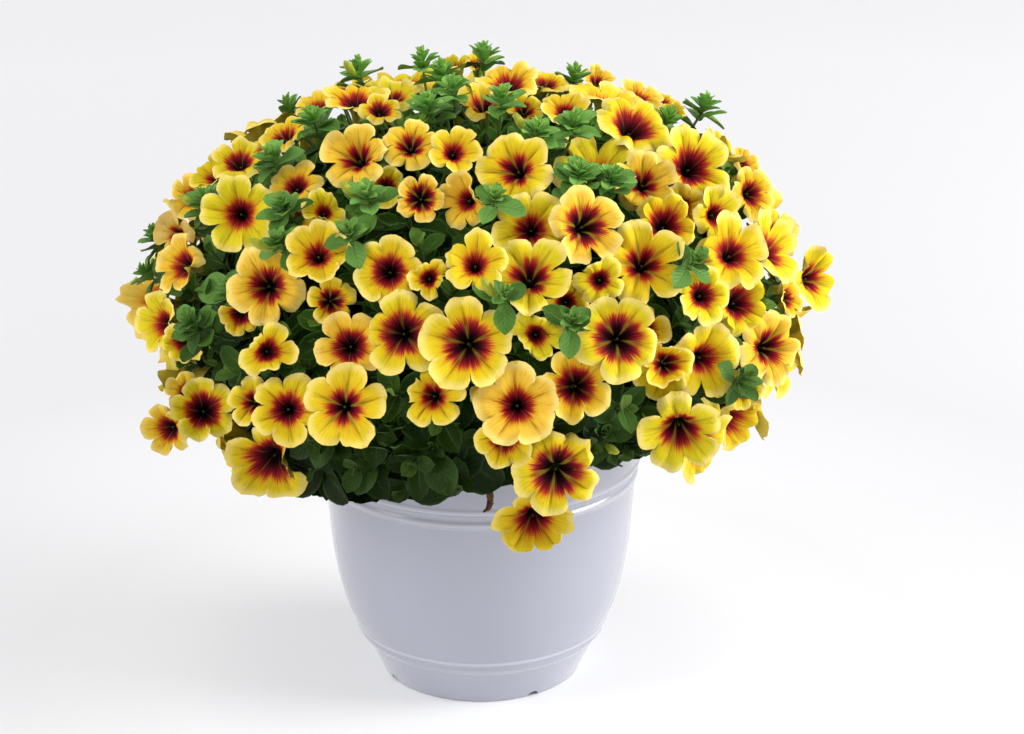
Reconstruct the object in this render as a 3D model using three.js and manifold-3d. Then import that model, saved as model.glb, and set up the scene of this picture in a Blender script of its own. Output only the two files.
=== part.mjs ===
// A petunia in full bloom in a round plastic pot.
// Millimetres, +Z up, origin on the pot's axis at its foot, and the side seen in the photograph faces -Y.

import * as THREE from "three";
import { mergeVertices } from "three/addons/utils/BufferGeometryUtils.js";
import Module from "manifold-3d";

const library = await Module();
library.setup();

// Driving dimensions of the pot and its filling
const rimRadius = 105.2;
const rimHeight = 170;
const wall = 2.2;
const footRadius = 64.5;
const footWidth = 7;
const floorUnderside = 4;
const turnedSides = 24;
const notchCount = 4;
const notchRadius = 4.2;
const notchLength = 26;
const notchDrop = 0.6;
const firstNotchTurn = THREE.MathUtils.degToRad(-60);
const pieceGap = 0.45;
const soilRimHeight = 149;
const soilMiddleHeight = 153;

// Driving dimensions of the plant
const domeMiddle = new THREE.Vector3(-3, -3, 250);
const domeReach = new THREE.Vector3(202, 196, 138);
const lowerNarrowing = 0.2;
const lowestBloomHeight = 160;
const stemCount = 5;
const stemCircle = 46;
const stemRadius = 4.5;
const stemFoot = 96;
const stemTop = 172;
const coreSides = 18;
const rootDepth = 6;
const leafThickness = 1.2;
const leafDroop = 0.15;
const shootTopRadius = 0.9;
const shootRadius = 1.2;
const shootFootRadius = 1.9;
const shootStandOut = 4;
const sprayNodes = 55;
const knotHeight = 4;
const knotRadius = 2.4;
const spiralSteps = 700;
const bloomSpacing = 35;
const tubeSpacing = 24;
const hiddenBelow = 0.48;

// The photograph is 1024 by 734 pixels. These place the eye that took it, from the circles of the pot.
const eye = new THREE.Vector3(0, -1432, 716);
const eyePitch = THREE.MathUtils.degToRad(19.69);
const focalPixels = 2400;
const middleAcross = 479.6;
const middleDown = 367;

// Blooms seen in the photograph, in its pixels: the middle of the rim, half the rim's width, and how far the
// face turns to the right and up. Deep is how many millimetres the bloom is tucked behind the outer surface.
const seenBlooms = [
  { across: 619, down: 339, half: 41, right: 0.1, up: 0.05 },
  { across: 467, down: 344, half: 43, right: -0.05, up: 0 },
  { across: 401, down: 332, half: 39, right: -0.1, up: 0.05 },
  { across: 262, down: 283, half: 38, right: -0.2, up: 0.05 },
  { across: 343, down: 406, half: 39, right: -0.1, up: 0 },
  { across: 517, down: 406, half: 39, right: 0, up: 0 },
  { across: 532, down: 226, half: 37, right: 0, up: 0.15 },
  { across: 588, down: 225, half: 37, right: 0.35, up: 0.2 },
  { across: 240, down: 212, half: 38, right: -0.15, up: 0.05 },
  { across: 695, down: 167, half: 38, right: 0.35, up: 0.3 },
  { across: 648, down: 258, half: 41, right: 0.15, up: 0.25 },
  { across: 577, down: 387, half: 36, right: 0.05, up: 0 },
  { across: 556, down: 474, half: 42, right: 0.05, up: -0.25 },
  { across: 532, down: 524, half: 40, right: 0, up: -0.5 },
  { across: 680, down: 435, half: 40, right: 0.1, up: -0.55 },
  { across: 286, down: 408, half: 34, right: -0.15, up: 0 },
  { across: 203, down: 408, half: 32, right: 0, up: 0.1 },
  { across: 357, down: 155, half: 34, right: -0.3, up: 0.4 },
  { across: 516, down: 168, half: 37, right: -0.25, up: 0.3 },
  { across: 592, down: 143, half: 42, right: 0, up: 0.75 },
  { across: 636, down: 125, half: 38, right: 0.35, up: 0.65 },
  { across: 735, down: 253, half: 36, right: 0.35, up: 0.35 },
  { across: 755, down: 298, half: 35, right: 0.55, up: 0.1 },
  { across: 772, down: 350, half: 35, right: 0.55, up: 0 },
  { across: 716, down: 365, half: 36, right: 0.45, up: -0.15 },
  { across: 817, down: 280, half: 33, right: 0.75, up: 0.1 },
  { across: 158, down: 320, half: 30, right: -0.75, up: 0.1 },
  { across: 530, down: 279, half: 40, right: 0, up: 0.4 },
  { across: 476, down: 262, half: 33, right: 0, up: 0.35 },
  { across: 318, down: 252, half: 33, right: -0.1, up: 0.3 },
  { across: 388, down: 270, half: 33, right: -0.15, up: 0.1, deep: 5 },
  { across: 348, down: 343, half: 33, right: -0.1, up: 0.1, deep: 6 },
  { across: 670, down: 222, half: 34, right: 0.25, up: 0.3 },
  { across: 422, down: 198, half: 25, right: 0, up: 0.1 },
  { across: 463, down: 200, half: 28, right: -0.45, up: 0.05, fold: 1 },
  { across: 412, down: 143, half: 27, right: -0.05, up: 0.5 },
  { across: 456, down: 150, half: 26, right: 0.15, up: 0.45 },
  { across: 708, down: 295, half: 29, right: 0.45, up: 0.15 },
  { across: 755, down: 195, half: 26, right: 0.6, up: 0.1 },
  { across: 668, down: 365, half: 28, right: 0.3, up: 0, fold: 2 },
  { across: 268, down: 350, half: 27, right: 0.1, up: 0, fold: 2 },
  { across: 428, down: 396, half: 32, right: -0.2, up: 0, fold: 1 },
  { across: 537, down: 335, half: 27, right: 0.1, up: 0, fold: 2, deep: 4 },
  { across: 600, down: 280, half: 24, right: 0, up: 0.1, fold: 1, deep: 6 },
  { across: 430, down: 277, half: 20, right: 0, up: 0.2, fold: 2, deep: 6 },
  { across: 640, down: 180, half: 32, right: 0.2, up: 0.3, deep: 8 },
  { across: 358, down: 97, half: 31, right: 0, up: 0.85 },
  { across: 292, down: 172, half: 26, right: -0.25, up: 0.6 },
  { across: 240, down: 158, half: 26, right: -0.2, up: 0.7 },
  { across: 458, down: 67, half: 20, right: -0.25, up: 0.8, cup: 0.6 },
  { across: 472, down: 98, half: 26, right: 0, up: 0.8, deep: 6 },
  { across: 510, down: 80, half: 30, right: 0, up: 0.85 },
  { across: 567, down: 108, half: 24, right: 0, up: 0.65 },
  { across: 676, down: 122, half: 18, right: 0.2, up: 0.7, cup: 0.7 },
  { across: 188, down: 195, half: 22, right: -0.7, up: 0.1 },
  { across: 180, down: 262, half: 30, right: -0.75, up: 0.2, deep: 4 },
  { across: 166, down: 428, half: 25, right: -0.6, up: -0.25, deep: 4 },
  { across: 720, down: 217, half: 28, right: 0.6, up: 0, deep: 10 },
  { across: 780, down: 232, half: 27, right: 0.75, up: 0.3, deep: 6 },
  { across: 181, down: 343, half: 21, right: -0.4, up: -0.5, deep: 8 },
  { across: 655, down: 393, half: 28, right: -0.2, up: -0.4, deep: 10 },
  { across: 510, down: 443, half: 34, right: -0.05, up: -0.3, deep: 12 },
  { across: 252, down: 400, half: 24, right: -0.3, up: 0.05, deep: 10 },
  { across: 238, down: 315, half: 22, right: -0.2, up: -0.2, deep: 12 },
  { across: 185, down: 388, half: 18, right: -0.4, up: 0.3, deep: 10 },
  { across: 175, down: 235, half: 24, right: -0.7, up: -0.2, deep: 6 },
  { across: 325, down: 205, half: 22, right: 0, up: 0.4, fold: 2, deep: 5 },
  { across: 382, down: 108, half: 20, right: 0.1, up: 0.7, deep: 10 },
  { across: 395, down: 88, half: 26, right: 0, up: 0.85, deep: 15 },
  { across: 318, down: 103, half: 22, right: -0.3, up: 0.8, deep: 12 },
  { across: 285, down: 132, half: 24, right: -0.35, up: 0.7, deep: 6 },
  { across: 253, down: 145, half: 24, right: -0.4, up: 0.7, deep: 8 },
  { across: 212, down: 172, half: 22, right: -0.5, up: 0.55, deep: 6 },
  { across: 527, down: 103, half: 20, right: 0.1, up: 0.6, deep: 4 },
  { across: 640, down: 97, half: 26, right: 0.3, up: 0.8, deep: 10 },
  { across: 650, down: 352, half: 30, right: 0.2, up: -0.1, deep: 12 },
  { across: 745, down: 392, half: 20, right: 0.3, up: -0.3, deep: 10 },
  { across: 332, down: 300, half: 24, right: 0.1, up: 0, deep: 14 },
  { across: 290, down: 210, half: 24, right: -0.2, up: 0.2, deep: 12 },
  { across: 568, down: 305, half: 22, right: 0.1, up: -0.1, deep: 14 },
  { across: 690, down: 205, half: 22, right: 0.1, up: 0, deep: 14 },
  { across: 385, down: 185, half: 22, right: -0.1, up: 0.1, deep: 14 },
  { across: 490, down: 392, half: 22, right: -0.1, up: -0.2, deep: 14 },
  { across: 480, down: 62, half: 16, right: 0, up: 0.75, deep: 24 },
  { across: 340, down: 90, half: 16, right: -0.3, up: 0.8, deep: 20 },
  { across: 548, down: 82, half: 22, right: 0.2, up: 0.85, deep: 15 },
  { across: 600, down: 80, half: 18, right: 0.3, up: 0.7, deep: 20 },
  { across: 670, down: 92, half: 20, right: 0.4, up: 0.75, deep: 25 },
  { across: 722, down: 145, half: 18, right: 0.6, up: 0.6, deep: 12 },
  { across: 748, down: 163, half: 18, right: 0.6, up: 0.5, deep: 12 },
  { across: 790, down: 300, half: 20, right: 0.8, up: 0.1, deep: 20 },
];

// Leafy shoot tips seen in the photograph, in its pixels
const seenShoots = [
  { across: 363, down: 75 },
  { across: 425, down: 66 },
  { across: 486, down: 62 },
  { across: 455, down: 95 },
  { across: 503, down: 105 },
  { across: 317, down: 124 },
  { across: 538, down: 138 },
  { across: 574, down: 130 },
  { across: 703, down: 113 },
  { across: 277, down: 162 },
  { across: 370, down: 200 },
  { across: 288, down: 209 },
  { across: 353, down: 238 },
  { across: 284, down: 246 },
  { across: 579, down: 179 },
  { across: 612, down: 184 },
  { across: 496, down: 204 },
  { across: 690, down: 267 },
  { across: 505, down: 300 },
  { across: 570, down: 325 },
  { across: 198, down: 322 },
  { across: 736, down: 380 },
];

// Repeatable variety: the same index and channel always give the same number from 0 to 1
function vary(index, channel) {
  const mixed = Math.sin(index * 12.9898 + channel * 78.233 + 4.1) * 43758.5453;
  return mixed - Math.floor(mixed);
}

function between(low, high, index, channel) {
  return low + (high - low) * vary(index, channel);
}

const fullTurn = Math.PI * 2;

// A closed mesh under construction, with its faces listed counterclockwise as seen from outside
class Draft {
  constructor() {
    this.points = [];
    this.faces = [];
  }

  add(point) {
    return this.points.push(point) - 1;
  }

  // Corners round a centre, counterclockwise as seen from the side that toward points to
  ring(centre, toward, radius, reference, turn = 0, sides = 3) {
    const first = reference.clone().addScaledVector(toward, -reference.dot(toward)).normalize();
    const second = toward.clone().cross(first);
    return Array.from({ length: sides }, (_, side) => {
      const angle = turn + (side / sides) * fullTurn;
      const point = centre.clone().addScaledVector(first, radius * Math.cos(angle));
      return this.add(point.addScaledVector(second, radius * Math.sin(angle)));
    });
  }

  // The wall between a ring and the next one behind it
  sleeve(front, behind, skipped = []) {
    front.forEach((corner, side) => {
      const after = (side + 1) % front.length;
      if (!skipped.includes(side)) {
        this.faces.push([corner, behind[side], behind[after]], [corner, behind[after], front[after]]);
      }
    });
  }

  closeBehind(ring) {
    for (let side = 1; side + 1 < ring.length; side += 1) {
      this.faces.push([ring[0], ring[side + 1], ring[side]]);
    }
  }

  closeFront(ring) {
    for (let side = 1; side + 1 < ring.length; side += 1) {
      this.faces.push([ring[0], ring[side], ring[side + 1]]);
    }
  }

  solid() {
    const vertProperties = new Float32Array(this.points.flatMap((point) => point.toArray()));
    const triVerts = new Uint32Array(this.faces.flat());
    return new library.Manifold(new library.Mesh({ numProp: 3, vertProperties, triVerts }));
  }
}

function solidOfGeometry(geometry) {
  const bare = geometry.clone();
  bare.deleteAttribute("normal");
  bare.deleteAttribute("uv");
  const merged = mergeVertices(bare, 1e-4);
  const vertProperties = new Float32Array(merged.attributes.position.array);
  const triVerts = new Uint32Array(merged.index.array);
  return new library.Manifold(new library.Mesh({ numProp: 3, vertProperties, triVerts }));
}

function geometryOfSolid(solid) {
  const mesh = solid.getMesh();
  const geometry = new THREE.BufferGeometry();
  geometry.setAttribute("position", new THREE.BufferAttribute(new Float32Array(mesh.vertProperties), 3));
  geometry.setIndex(new THREE.BufferAttribute(new Uint32Array(mesh.triVerts), 1));
  return geometry;
}

// A closed body of revolution about Z, from points of radius and height that start and end on the axis
function turned(profile, sides) {
  const outline = profile.map(([radius, height]) => new THREE.Vector2(radius, height));
  const geometry = new THREE.LatheGeometry(outline, sides);
  geometry.rotateX(Math.PI / 2);
  return solidOfGeometry(geometry);
}

function anyAcross(direction) {
  const helper = Math.abs(direction.z) < 0.8 ? new THREE.Vector3(0, 0, 1) : new THREE.Vector3(1, 0, 0);
  return helper.addScaledVector(direction, -helper.dot(direction)).normalize();
}

// The pot, as turned: foot, step, belly, two thin raised rings and the rolled rim
const potOutside = [
  [footRadius, 0],
  [76.6, 25],
  [80.2, 29],
  [87.4, 47],
  [92.4, 65],
  [96.2, 88],
  [99.7, 135.4],
  [101.1, 137.2],
  [100.1, 139],
  [100.9, 143.8],
  [103, 145.6],
  [103, 148.6],
  [104, 165],
  [rimRadius, 166.6],
  [rimRadius, rimHeight],
];

const potInside = [
  [rimRadius - 3.2, rimHeight],
  [94, 88],
  [85.2, 47],
  [74.4, 25],
  [65.6, 10],
  [61, floorUnderside + wall],
];

function insideRadius(height) {
  const above = potInside.findIndex(([, level]) => level <= height);
  const [upperRadius, upperLevel] = potInside[above - 1];
  const [lowerRadius, lowerLevel] = potInside[above];
  return THREE.MathUtils.mapLinear(height, lowerLevel, upperLevel, lowerRadius, upperRadius);
}

function notch(index) {
  const geometry = new THREE.CylinderGeometry(notchRadius, notchRadius, notchLength, 10);
  const turn = firstNotchTurn + (index / notchCount) * fullTurn;
  geometry.translate(0, -footRadius, -notchDrop);
  geometry.rotateZ(turn);
  return solidOfGeometry(geometry);
}

function makePot() {
  const hollowFoot = footRadius - footWidth;
  const profile = [[0, floorUnderside], [hollowFoot - 1, floorUnderside], [hollowFoot, 0]];
  profile.push(...potOutside, ...potInside, [0, floorUnderside + wall]);
  let pot = turned(profile, turnedSides);
  for (let index = 0; index < notchCount; index += 1) {
    pot = pot.subtract(notch(index));
  }
  return pot;
}

function stemPlace(index) {
  const turn = (index / stemCount) * fullTurn + between(-0.25, 0.25, index, 1);
  const distance = index === 0 ? 0 : stemCircle * between(0.55, 1, index, 2);
  return new THREE.Vector3(distance * Math.cos(turn), distance * Math.sin(turn), 0);
}

function makeStem(index, radius, foot) {
  const place = stemPlace(index);
  const up = new THREE.Vector3(0, 0, 1);
  const reference = new THREE.Vector3(1, 0, 0);
  const draft = new Draft();
  const top = draft.ring(place.clone().setZ(stemTop), up, radius, reference, 0, 5);
  const bottom = draft.ring(place.clone().setZ(foot), up, radius, reference, 0, 5);
  draft.closeFront(top);
  draft.sleeve(top, bottom);
  draft.closeBehind(bottom);
  return draft.solid();
}

function makeSoil() {
  const floor = floorUnderside + wall + pieceGap;
  const profile = [[0, floor], [60.4, floor]];
  for (const height of [25, 88]) {
    profile.push([insideRadius(height) - pieceGap, height]);
  }
  profile.push([insideRadius(soilRimHeight) - pieceGap, soilRimHeight]);
  profile.push([62, soilMiddleHeight - 1], [0, soilMiddleHeight]);
  let soil = turned(profile, turnedSides);
  for (let index = 0; index < stemCount; index += 1) {
    soil = soil.subtract(makeStem(index, stemRadius + pieceGap, stemFoot - pieceGap));
  }
  return soil;
}

// The leafy inner mass, which the leaves and the bloom stalks stand out of
const coreProfile = [
  [0, 158],
  [72, 158],
  [92, 178],
  [138, 190],
  [154, 222],
  [151, 262],
  [126, 302],
  [72, 328],
  [0, 336],
];
const coreMiddleHeight = 240;
const clearScale = 1.002;

function makeCore(scale = 1) {
  const profile = coreProfile.map(([radius, height]) => {
    return [radius * scale, coreMiddleHeight + (height - coreMiddleHeight) * scale];
  });
  return turned(profile, coreSides);
}

// How far the flat sides of the core lie inside its circles, at an azimuth
function facetShare(azimuth) {
  const step = fullTurn / coreSides;
  const into = (((azimuth + Math.PI / 2) % step) + step) % step;
  return Math.cos(step / 2) / Math.cos(into - step / 2);
}

function insideCore(at) {
  for (let index = 0; index + 1 < coreProfile.length; index += 1) {
    const [radius, height] = coreProfile[index];
    const [nextRadius, nextHeight] = coreProfile[index + 1];
    const side = (nextRadius - radius) * (at.y - height) - (nextHeight - height) * (at.x - radius);
    if (index !== 1 && side < 0) {
      return false;
    }
  }
  return true;
}

// Where a line from outside toward the middle of the core meets its surface
function coreFoot(outside) {
  const azimuth = Math.atan2(outside.y, outside.x);
  const share = facetShare(azimuth);
  const far = new THREE.Vector2(Math.hypot(outside.x, outside.y) / share, outside.z);
  const middle = new THREE.Vector2(0, coreMiddleHeight);
  let out = 0;
  let within = 1;
  for (let step = 0; step < 24; step += 1) {
    const half = (out + within) / 2;
    if (insideCore(far.clone().lerp(middle, half))) {
      within = half;
    } else {
      out = half;
    }
  }
  const at = far.lerp(middle, within);
  return new THREE.Vector3(at.x * share * Math.cos(azimuth), at.x * share * Math.sin(azimuth), at.y);
}

// How far out a point lies, where 1 is the surface that the blooms face out of
function domeLevel(point) {
  const offset = point.clone().sub(domeMiddle);
  const below = Math.max(0, -offset.z) / (domeMiddle.z - lowestBloomHeight);
  const shrink = 1 - lowerNarrowing * below * below;
  const rise = offset.z > 0 ? offset.z / domeReach.z : 0;
  const spread = Math.hypot(offset.x / domeReach.x, offset.y / domeReach.y) / Math.max(shrink, 0.3);
  return Math.hypot(spread, rise);
}

function domeNormal(point) {
  const offset = point.clone().sub(domeMiddle);
  const lift = offset.z > 0 ? offset.z / domeReach.z ** 2 : (0.4 * offset.z) / domeReach.z ** 2;
  return new THREE.Vector3(offset.x / domeReach.x ** 2, offset.y / domeReach.y ** 2, lift).normalize();
}

// The point of the bloom surface that a pixel of the photograph shows, or else the nearest miss
function seenPoint(across, down) {
  const view = new THREE.Vector3(
    (across - middleAcross) / focalPixels,
    Math.cos(eyePitch) - (Math.sin(eyePitch) * (down - middleDown)) / focalPixels,
    -Math.sin(eyePitch) - (Math.cos(eyePitch) * (down - middleDown)) / focalPixels,
  ).normalize();
  let best = null;
  let bestLevel = Infinity;
  for (let distance = 1100; distance < 1900; distance += 1) {
    const point = eye.clone().addScaledVector(view, distance);
    const level = domeLevel(point);
    if (level < bestLevel) {
      bestLevel = level;
      best = point;
    }
    if (level <= 1) {
      break;
    }
  }
  return { point: best, view };
}

// A bloom's own frame: the middle of its rim, the way that it faces and the turn of its petals
function seenBloom(place, index) {
  const { point, view } = seenPoint(place.across, place.down);
  const toward = Math.sqrt(Math.max(0, 1 - place.right ** 2 - place.up ** 2));
  const upward = new THREE.Vector3(0, Math.sin(eyePitch), Math.cos(eyePitch));
  const facing = new THREE.Vector3(place.right, 0, 0);
  facing.addScaledVector(upward, place.up).addScaledVector(view, -toward).normalize();
  const radius = (place.half * point.distanceTo(eye)) / focalPixels;
  const middle = point.clone().addScaledVector(view, place.deep ?? 0);
  return makeBloom(middle, facing, radius, index, place.cup ?? 0, place.fold ?? 0);
}

function makeBloom(middle, facing, radius, index, cup, fold) {
  return { middle, facing, radius, index, cup, fold, spin: vary(index, 3) * fullTurn };
}

const petals = 5;
const throatShare = 0.27;
const throatDepth = 0.26;
const tubeRadius = 1.9;
const stalkRadius = 1.6;
const petalShoulders = [0.29, 0.71];
const limbThickness = 2.4;
const lengthShare = 1.3;
const longestBloom = 29;
const petalReach = 1.03;
const notchReach = 0.86;
const petalWave = 0.1;
const cupClosing = 0.42;
const cupRise = 0.5;
const foldReach = 0.62;
const foldRise = 0.42;

// The petals' outline: a shallow notch between petals and two rounded shoulders on each, all a little wavy
function petalEdge(bloom, petal, share) {
  const { radius, index, cup, fold } = bloom;
  const channel = 10 + petal * 4 + Math.round(share * 10);
  const atNotch = share === 0;
  const folded = (fold > 0 && petal === 0) || (fold > 1 && petal === 2);
  let reach = (atNotch ? notchReach : petalReach) * between(0.97, 1.03, index, channel + 1);
  let height = between(-petalWave, petalWave, index, channel) - (atNotch ? 0.03 : 0) + cupRise * cup;
  reach *= 1 - cupClosing * cup;
  if (folded && !atNotch) {
    reach *= foldReach;
    height += foldRise;
  }
  return { turn: ((petal + share) / petals) * fullTurn, reach: reach * radius, height: height * radius };
}

function bloomLength(bloom) {
  return Math.min(lengthShare * bloom.radius, longestBloom);
}

function bloomBase(bloom) {
  return bloom.middle.clone().addScaledVector(bloom.facing, -bloomLength(bloom));
}

// Draws a bloom without its stalk, and gives back the open ring at the foot of its tube
function drawBloom(draft, bloom) {
  const { middle, facing, radius, spin } = bloom;
  const across = anyAcross(facing);
  const upright = facing.clone().cross(across);
  const add = (turn, reach, height) => {
    const point = middle.clone().addScaledVector(facing, height);
    point.addScaledVector(across, reach * Math.cos(turn + spin));
    return draft.add(point.addScaledVector(upright, reach * Math.sin(turn + spin)));
  };
  const throat = throatShare * radius;
  const apex = add(0, 0, -0.62 * radius);
  const inner = [];
  const outer = [];
  const rim = [];
  for (let petal = 0; petal < petals; petal += 1) {
    const turn = (petal / petals) * fullTurn;
    inner.push(add(turn, throat, -throatDepth * radius));
    outer.push(add(turn, throat + 1.5, -throatDepth * radius - limbThickness));
    for (const share of [0, ...petalShoulders]) {
      const edge = petalEdge(bloom, petal, share);
      rim.push(add(edge.turn, edge.reach, edge.height));
    }
  }
  const base = [0, 1, 2].map((side) => add((side / 3) * fullTurn, tubeRadius, -bloomLength(bloom)));
  for (let petal = 0; petal < petals; petal += 1) {
    const next = (petal + 1) % petals;
    const [notchPoint, first, second] = rim.slice(petal * 3, petal * 3 + 3);
    const nextNotch = rim[next * 3];
    draft.faces.push([apex, inner[petal], inner[next]]);
    draft.faces.push([inner[petal], notchPoint, first], [inner[petal], first, second]);
    draft.faces.push([inner[petal], second, inner[next]], [inner[next], second, nextNotch]);
    draft.faces.push([outer[petal], first, notchPoint], [outer[petal], second, first]);
    draft.faces.push([outer[petal], outer[next], second], [outer[next], nextNotch, second]);
  }
  const [a, b, c, d, e] = outer;
  draft.faces.push([a, base[0], b], [b, base[0], base[1]], [b, base[1], c], [c, base[1], d]);
  draft.faces.push([d, base[1], base[2]], [d, base[2], e], [e, base[2], base[0]], [e, base[0], a]);
  return base;
}

// Draws the stalk from the foot of a bloom's tube, over an elbow where it has one, to three given corners
function drawStalk(draft, bloom, base, elbows, target) {
  const targetMiddle = new THREE.Vector3();
  target.forEach((corner) => targetMiddle.addScaledVector(draft.points[corner], 1 / 3));
  const path = [bloomBase(bloom), ...elbows, targetMiddle];
  let front = base;
  elbows.forEach((elbow, step) => {
    const toward = path[step].clone().sub(path[step + 2]).normalize();
    const reference = draft.points[front[0]].clone().sub(path[step]);
    const ring = draft.ring(elbow, toward, stalkRadius, reference);
    draft.sleeve(front, ring);
    front = ring;
  });
  const offset = [0, 1, 2].map((shift) => {
    const spans = front.map((corner, side) => {
      return draft.points[corner].distanceTo(draft.points[target[(side + shift) % 3]]);
    });
    return spans.reduce((sum, span) => sum + span, 0);
  });
  const shift = offset.indexOf(Math.min(...offset));
  draft.sleeve(front, [0, 1, 2].map((side) => target[(side + shift) % 3]));
}

function bloomSolid(bloom) {
  const draft = new Draft();
  draft.closeBehind(drawBloom(draft, bloom));
  return draft.solid();
}

// Solids that are already placed, kept with their boxes so that only near ones are compared
function boxed(solid) {
  return { solid, box: solid.boundingBox() };
}

function boxesMeet(first, second) {
  return [0, 1, 2].every((axis) => first.min[axis] < second.max[axis] && second.min[axis] < first.max[axis]);
}

const leastOverlap = 1e-5;

function crossing(entry, others) {
  return others.filter((other) => {
    if (!boxesMeet(entry.box, other.box)) {
      return false;
    }
    return entry.solid.intersect(other.solid).volume() > leastOverlap;
  });
}

// Points spread evenly over the bloom surface by the golden angle
const goldenAngle = Math.PI * (3 - Math.sqrt(5));
const upperShare = 0.62;

function spiralPoint(index, count) {
  const height = 1 - (index + 0.5) / count;
  const turn = index * goldenAngle;
  const upper = height > 1 - upperShare;
  const rise = upper ? (height - 1 + upperShare) / upperShare : 0;
  const fall = upper ? 0 : 1 - height / (1 - upperShare);
  const spread = Math.sqrt(1 - rise * rise) * (1 - lowerNarrowing * fall * fall);
  const across = domeReach.x * spread * Math.cos(turn);
  const along = domeReach.y * spread * Math.sin(turn);
  const level = upper ? domeReach.z * rise : -fall * (domeMiddle.z - lowestBloomHeight - 18);
  return domeMiddle.clone().add(new THREE.Vector3(across, along, level));
}

function hiddenFromEye(point) {
  const toEye = eye.clone().sub(point).normalize();
  return domeNormal(point).dot(toEye) < hiddenBelow;
}

function farFrom(point, others, distance) {
  return others.every((other) => other.distanceTo(point) > distance);
}

// The seen blooms, and more of them wherever the photograph doesn't show the plant
function arrangeBlooms(shootPoints) {
  const blooms = seenBlooms.map(seenBloom);
  for (let step = 0; step < spiralSteps; step += 1) {
    const point = spiralPoint(step, spiralSteps);
    const middles = blooms.map((bloom) => bloom.middle);
    const tubes = [...shootPoints, ...blooms.map(bloomBase)];
    const free = farFrom(point, middles, bloomSpacing) && farFrom(point, tubes, tubeSpacing);
    if (hiddenFromEye(point) && free) {
      const index = blooms.length;
      const lean = new THREE.Vector3(between(-0.4, 0.4, index, 5), between(-0.4, 0.4, index, 6), 0.15);
      const facing = domeNormal(point).add(lean).normalize();
      const cup = vary(index, 7) > 0.9 ? 0.5 : 0;
      const fold = Math.max(0, Math.floor(vary(index, 8) * 3.3) - 1);
      blooms.push(makeBloom(point, facing, between(20, 25, index, 9), index, cup, fold));
    }
  }
  return blooms;
}

// Each bloom is drawn back along its own axis, then moved aside or made smaller, until it crosses nothing
const settlingSizes = [1, 0.9, 0.8];
const settlingAsides = [4, 8];
const settlingBack = 18;
const settlingStep = 3;

function settleBlooms(blooms, obstacles) {
  const placed = [...obstacles];
  const settled = [];
  for (const bloom of blooms) {
    const entry = settle(bloom, placed);
    if (entry) {
      placed.push(entry);
      settled.push(entry);
    }
  }
  return settled;
}

function settle(bloom, placed) {
  for (const size of settlingSizes) {
    for (const aside of asides(bloom.facing, settlingAsides, 6)) {
      for (let back = 0; back <= settlingBack; back += settlingStep) {
        const middle = bloom.middle.clone().addScaledVector(bloom.facing, -back).add(aside);
        const tried = { ...bloom, middle, radius: bloom.radius * size };
        const entry = { ...boxed(bloomSolid(tried)), bloom: tried };
        if (crossing(entry, placed).length === 0) {
          return entry;
        }
      }
    }
  }
  return null;
}

// No shift at all, then shifts square to a direction, by each distance and to each side
function asides(direction, distances, sides) {
  const across = anyAcross(direction);
  const upright = direction.clone().cross(across);
  const shifts = [new THREE.Vector3()];
  for (const distance of distances) {
    for (let side = 0; side < sides; side += 1) {
      const turn = (side / sides) * fullTurn;
      const shift = across.clone().multiplyScalar(distance * Math.cos(turn));
      shifts.push(shift.addScaledVector(upright, distance * Math.sin(turn)));
    }
  }
  return shifts;
}

// A leaf grown out of one side of a stem, between an upper and a lower ring of the stem's corners
const leafShapes = {
  young: [[0.5, 0.5]],
  round: [[0.36, 0.46], [0.78, 0.36]],
};

function drawLeaf(draft, upper, lower, side, leaf) {
  const after = (side + 1) % 3;
  const [upperLeft, upperRight] = [upper[side], upper[after]];
  const [lowerLeft, lowerRight] = [lower[side], lower[after]];
  const root = new THREE.Vector3();
  [upperLeft, upperRight, lowerLeft, lowerRight].forEach((corner) => {
    root.addScaledVector(draft.points[corner], 0.25);
  });
  const along = leaf.along;
  const right = draft.points[lowerRight].clone().sub(draft.points[lowerLeft]);
  right.addScaledVector(along, -right.dot(along)).normalize();
  const up = along.clone().cross(right);
  const add = (share, offset, lift) => {
    const point = root.clone().addScaledVector(along, share * leaf.length);
    point.addScaledVector(right, offset * leaf.width);
    return draft.add(point.addScaledVector(up, lift - leafDroop * leaf.length * share * share));
  };
  const shape = leafShapes[leaf.shape];
  const leftEdge = shape.map(([share, offset]) => add(share, -offset, 0));
  const rightEdge = shape.map(([share, offset]) => add(share, offset, 0));
  const tip = add(1, 0, 0);
  const middle = add(0.5, 0, leafThickness);
  const outline = [upperLeft, ...leftEdge, tip, ...rightEdge.slice().reverse(), upperRight];
  outline.forEach((corner, index) => {
    draft.faces.push([middle, corner, outline[(index + 1) % outline.length]]);
  });
  draft.faces.push([upperLeft, lowerLeft, leftEdge[0]], [upperRight, rightEdge[0], lowerRight]);
  draft.faces.push([lowerLeft, lowerRight, tip]);
  [...leftEdge, tip].slice(0, -1).forEach((corner, index, edge) => {
    draft.faces.push([lowerLeft, edge[index + 1] ?? tip, corner]);
  });
  [...rightEdge, tip].slice(0, -1).forEach((corner, index, edge) => {
    draft.faces.push([lowerRight, corner, edge[index + 1] ?? tip]);
  });
}

// Tiers of three leaves, from the tip of a shoot down
const shootKinds = {
  tall: [
    { below: 1, depth: 2.6, spread: 42, length: 11, width: 5.8, shape: "young" },
    { below: 3.6, depth: 3.2, spread: 76, length: 17, width: 11.5, shape: "young" },
  ],
  inner: [{ below: 1, depth: 3.6, spread: 62, length: 26, width: 18, shape: "young" }],
  skirt: [{ below: 1, depth: 3.6, spread: 68, length: 30, width: 25, shape: "round" }],
};

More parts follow.
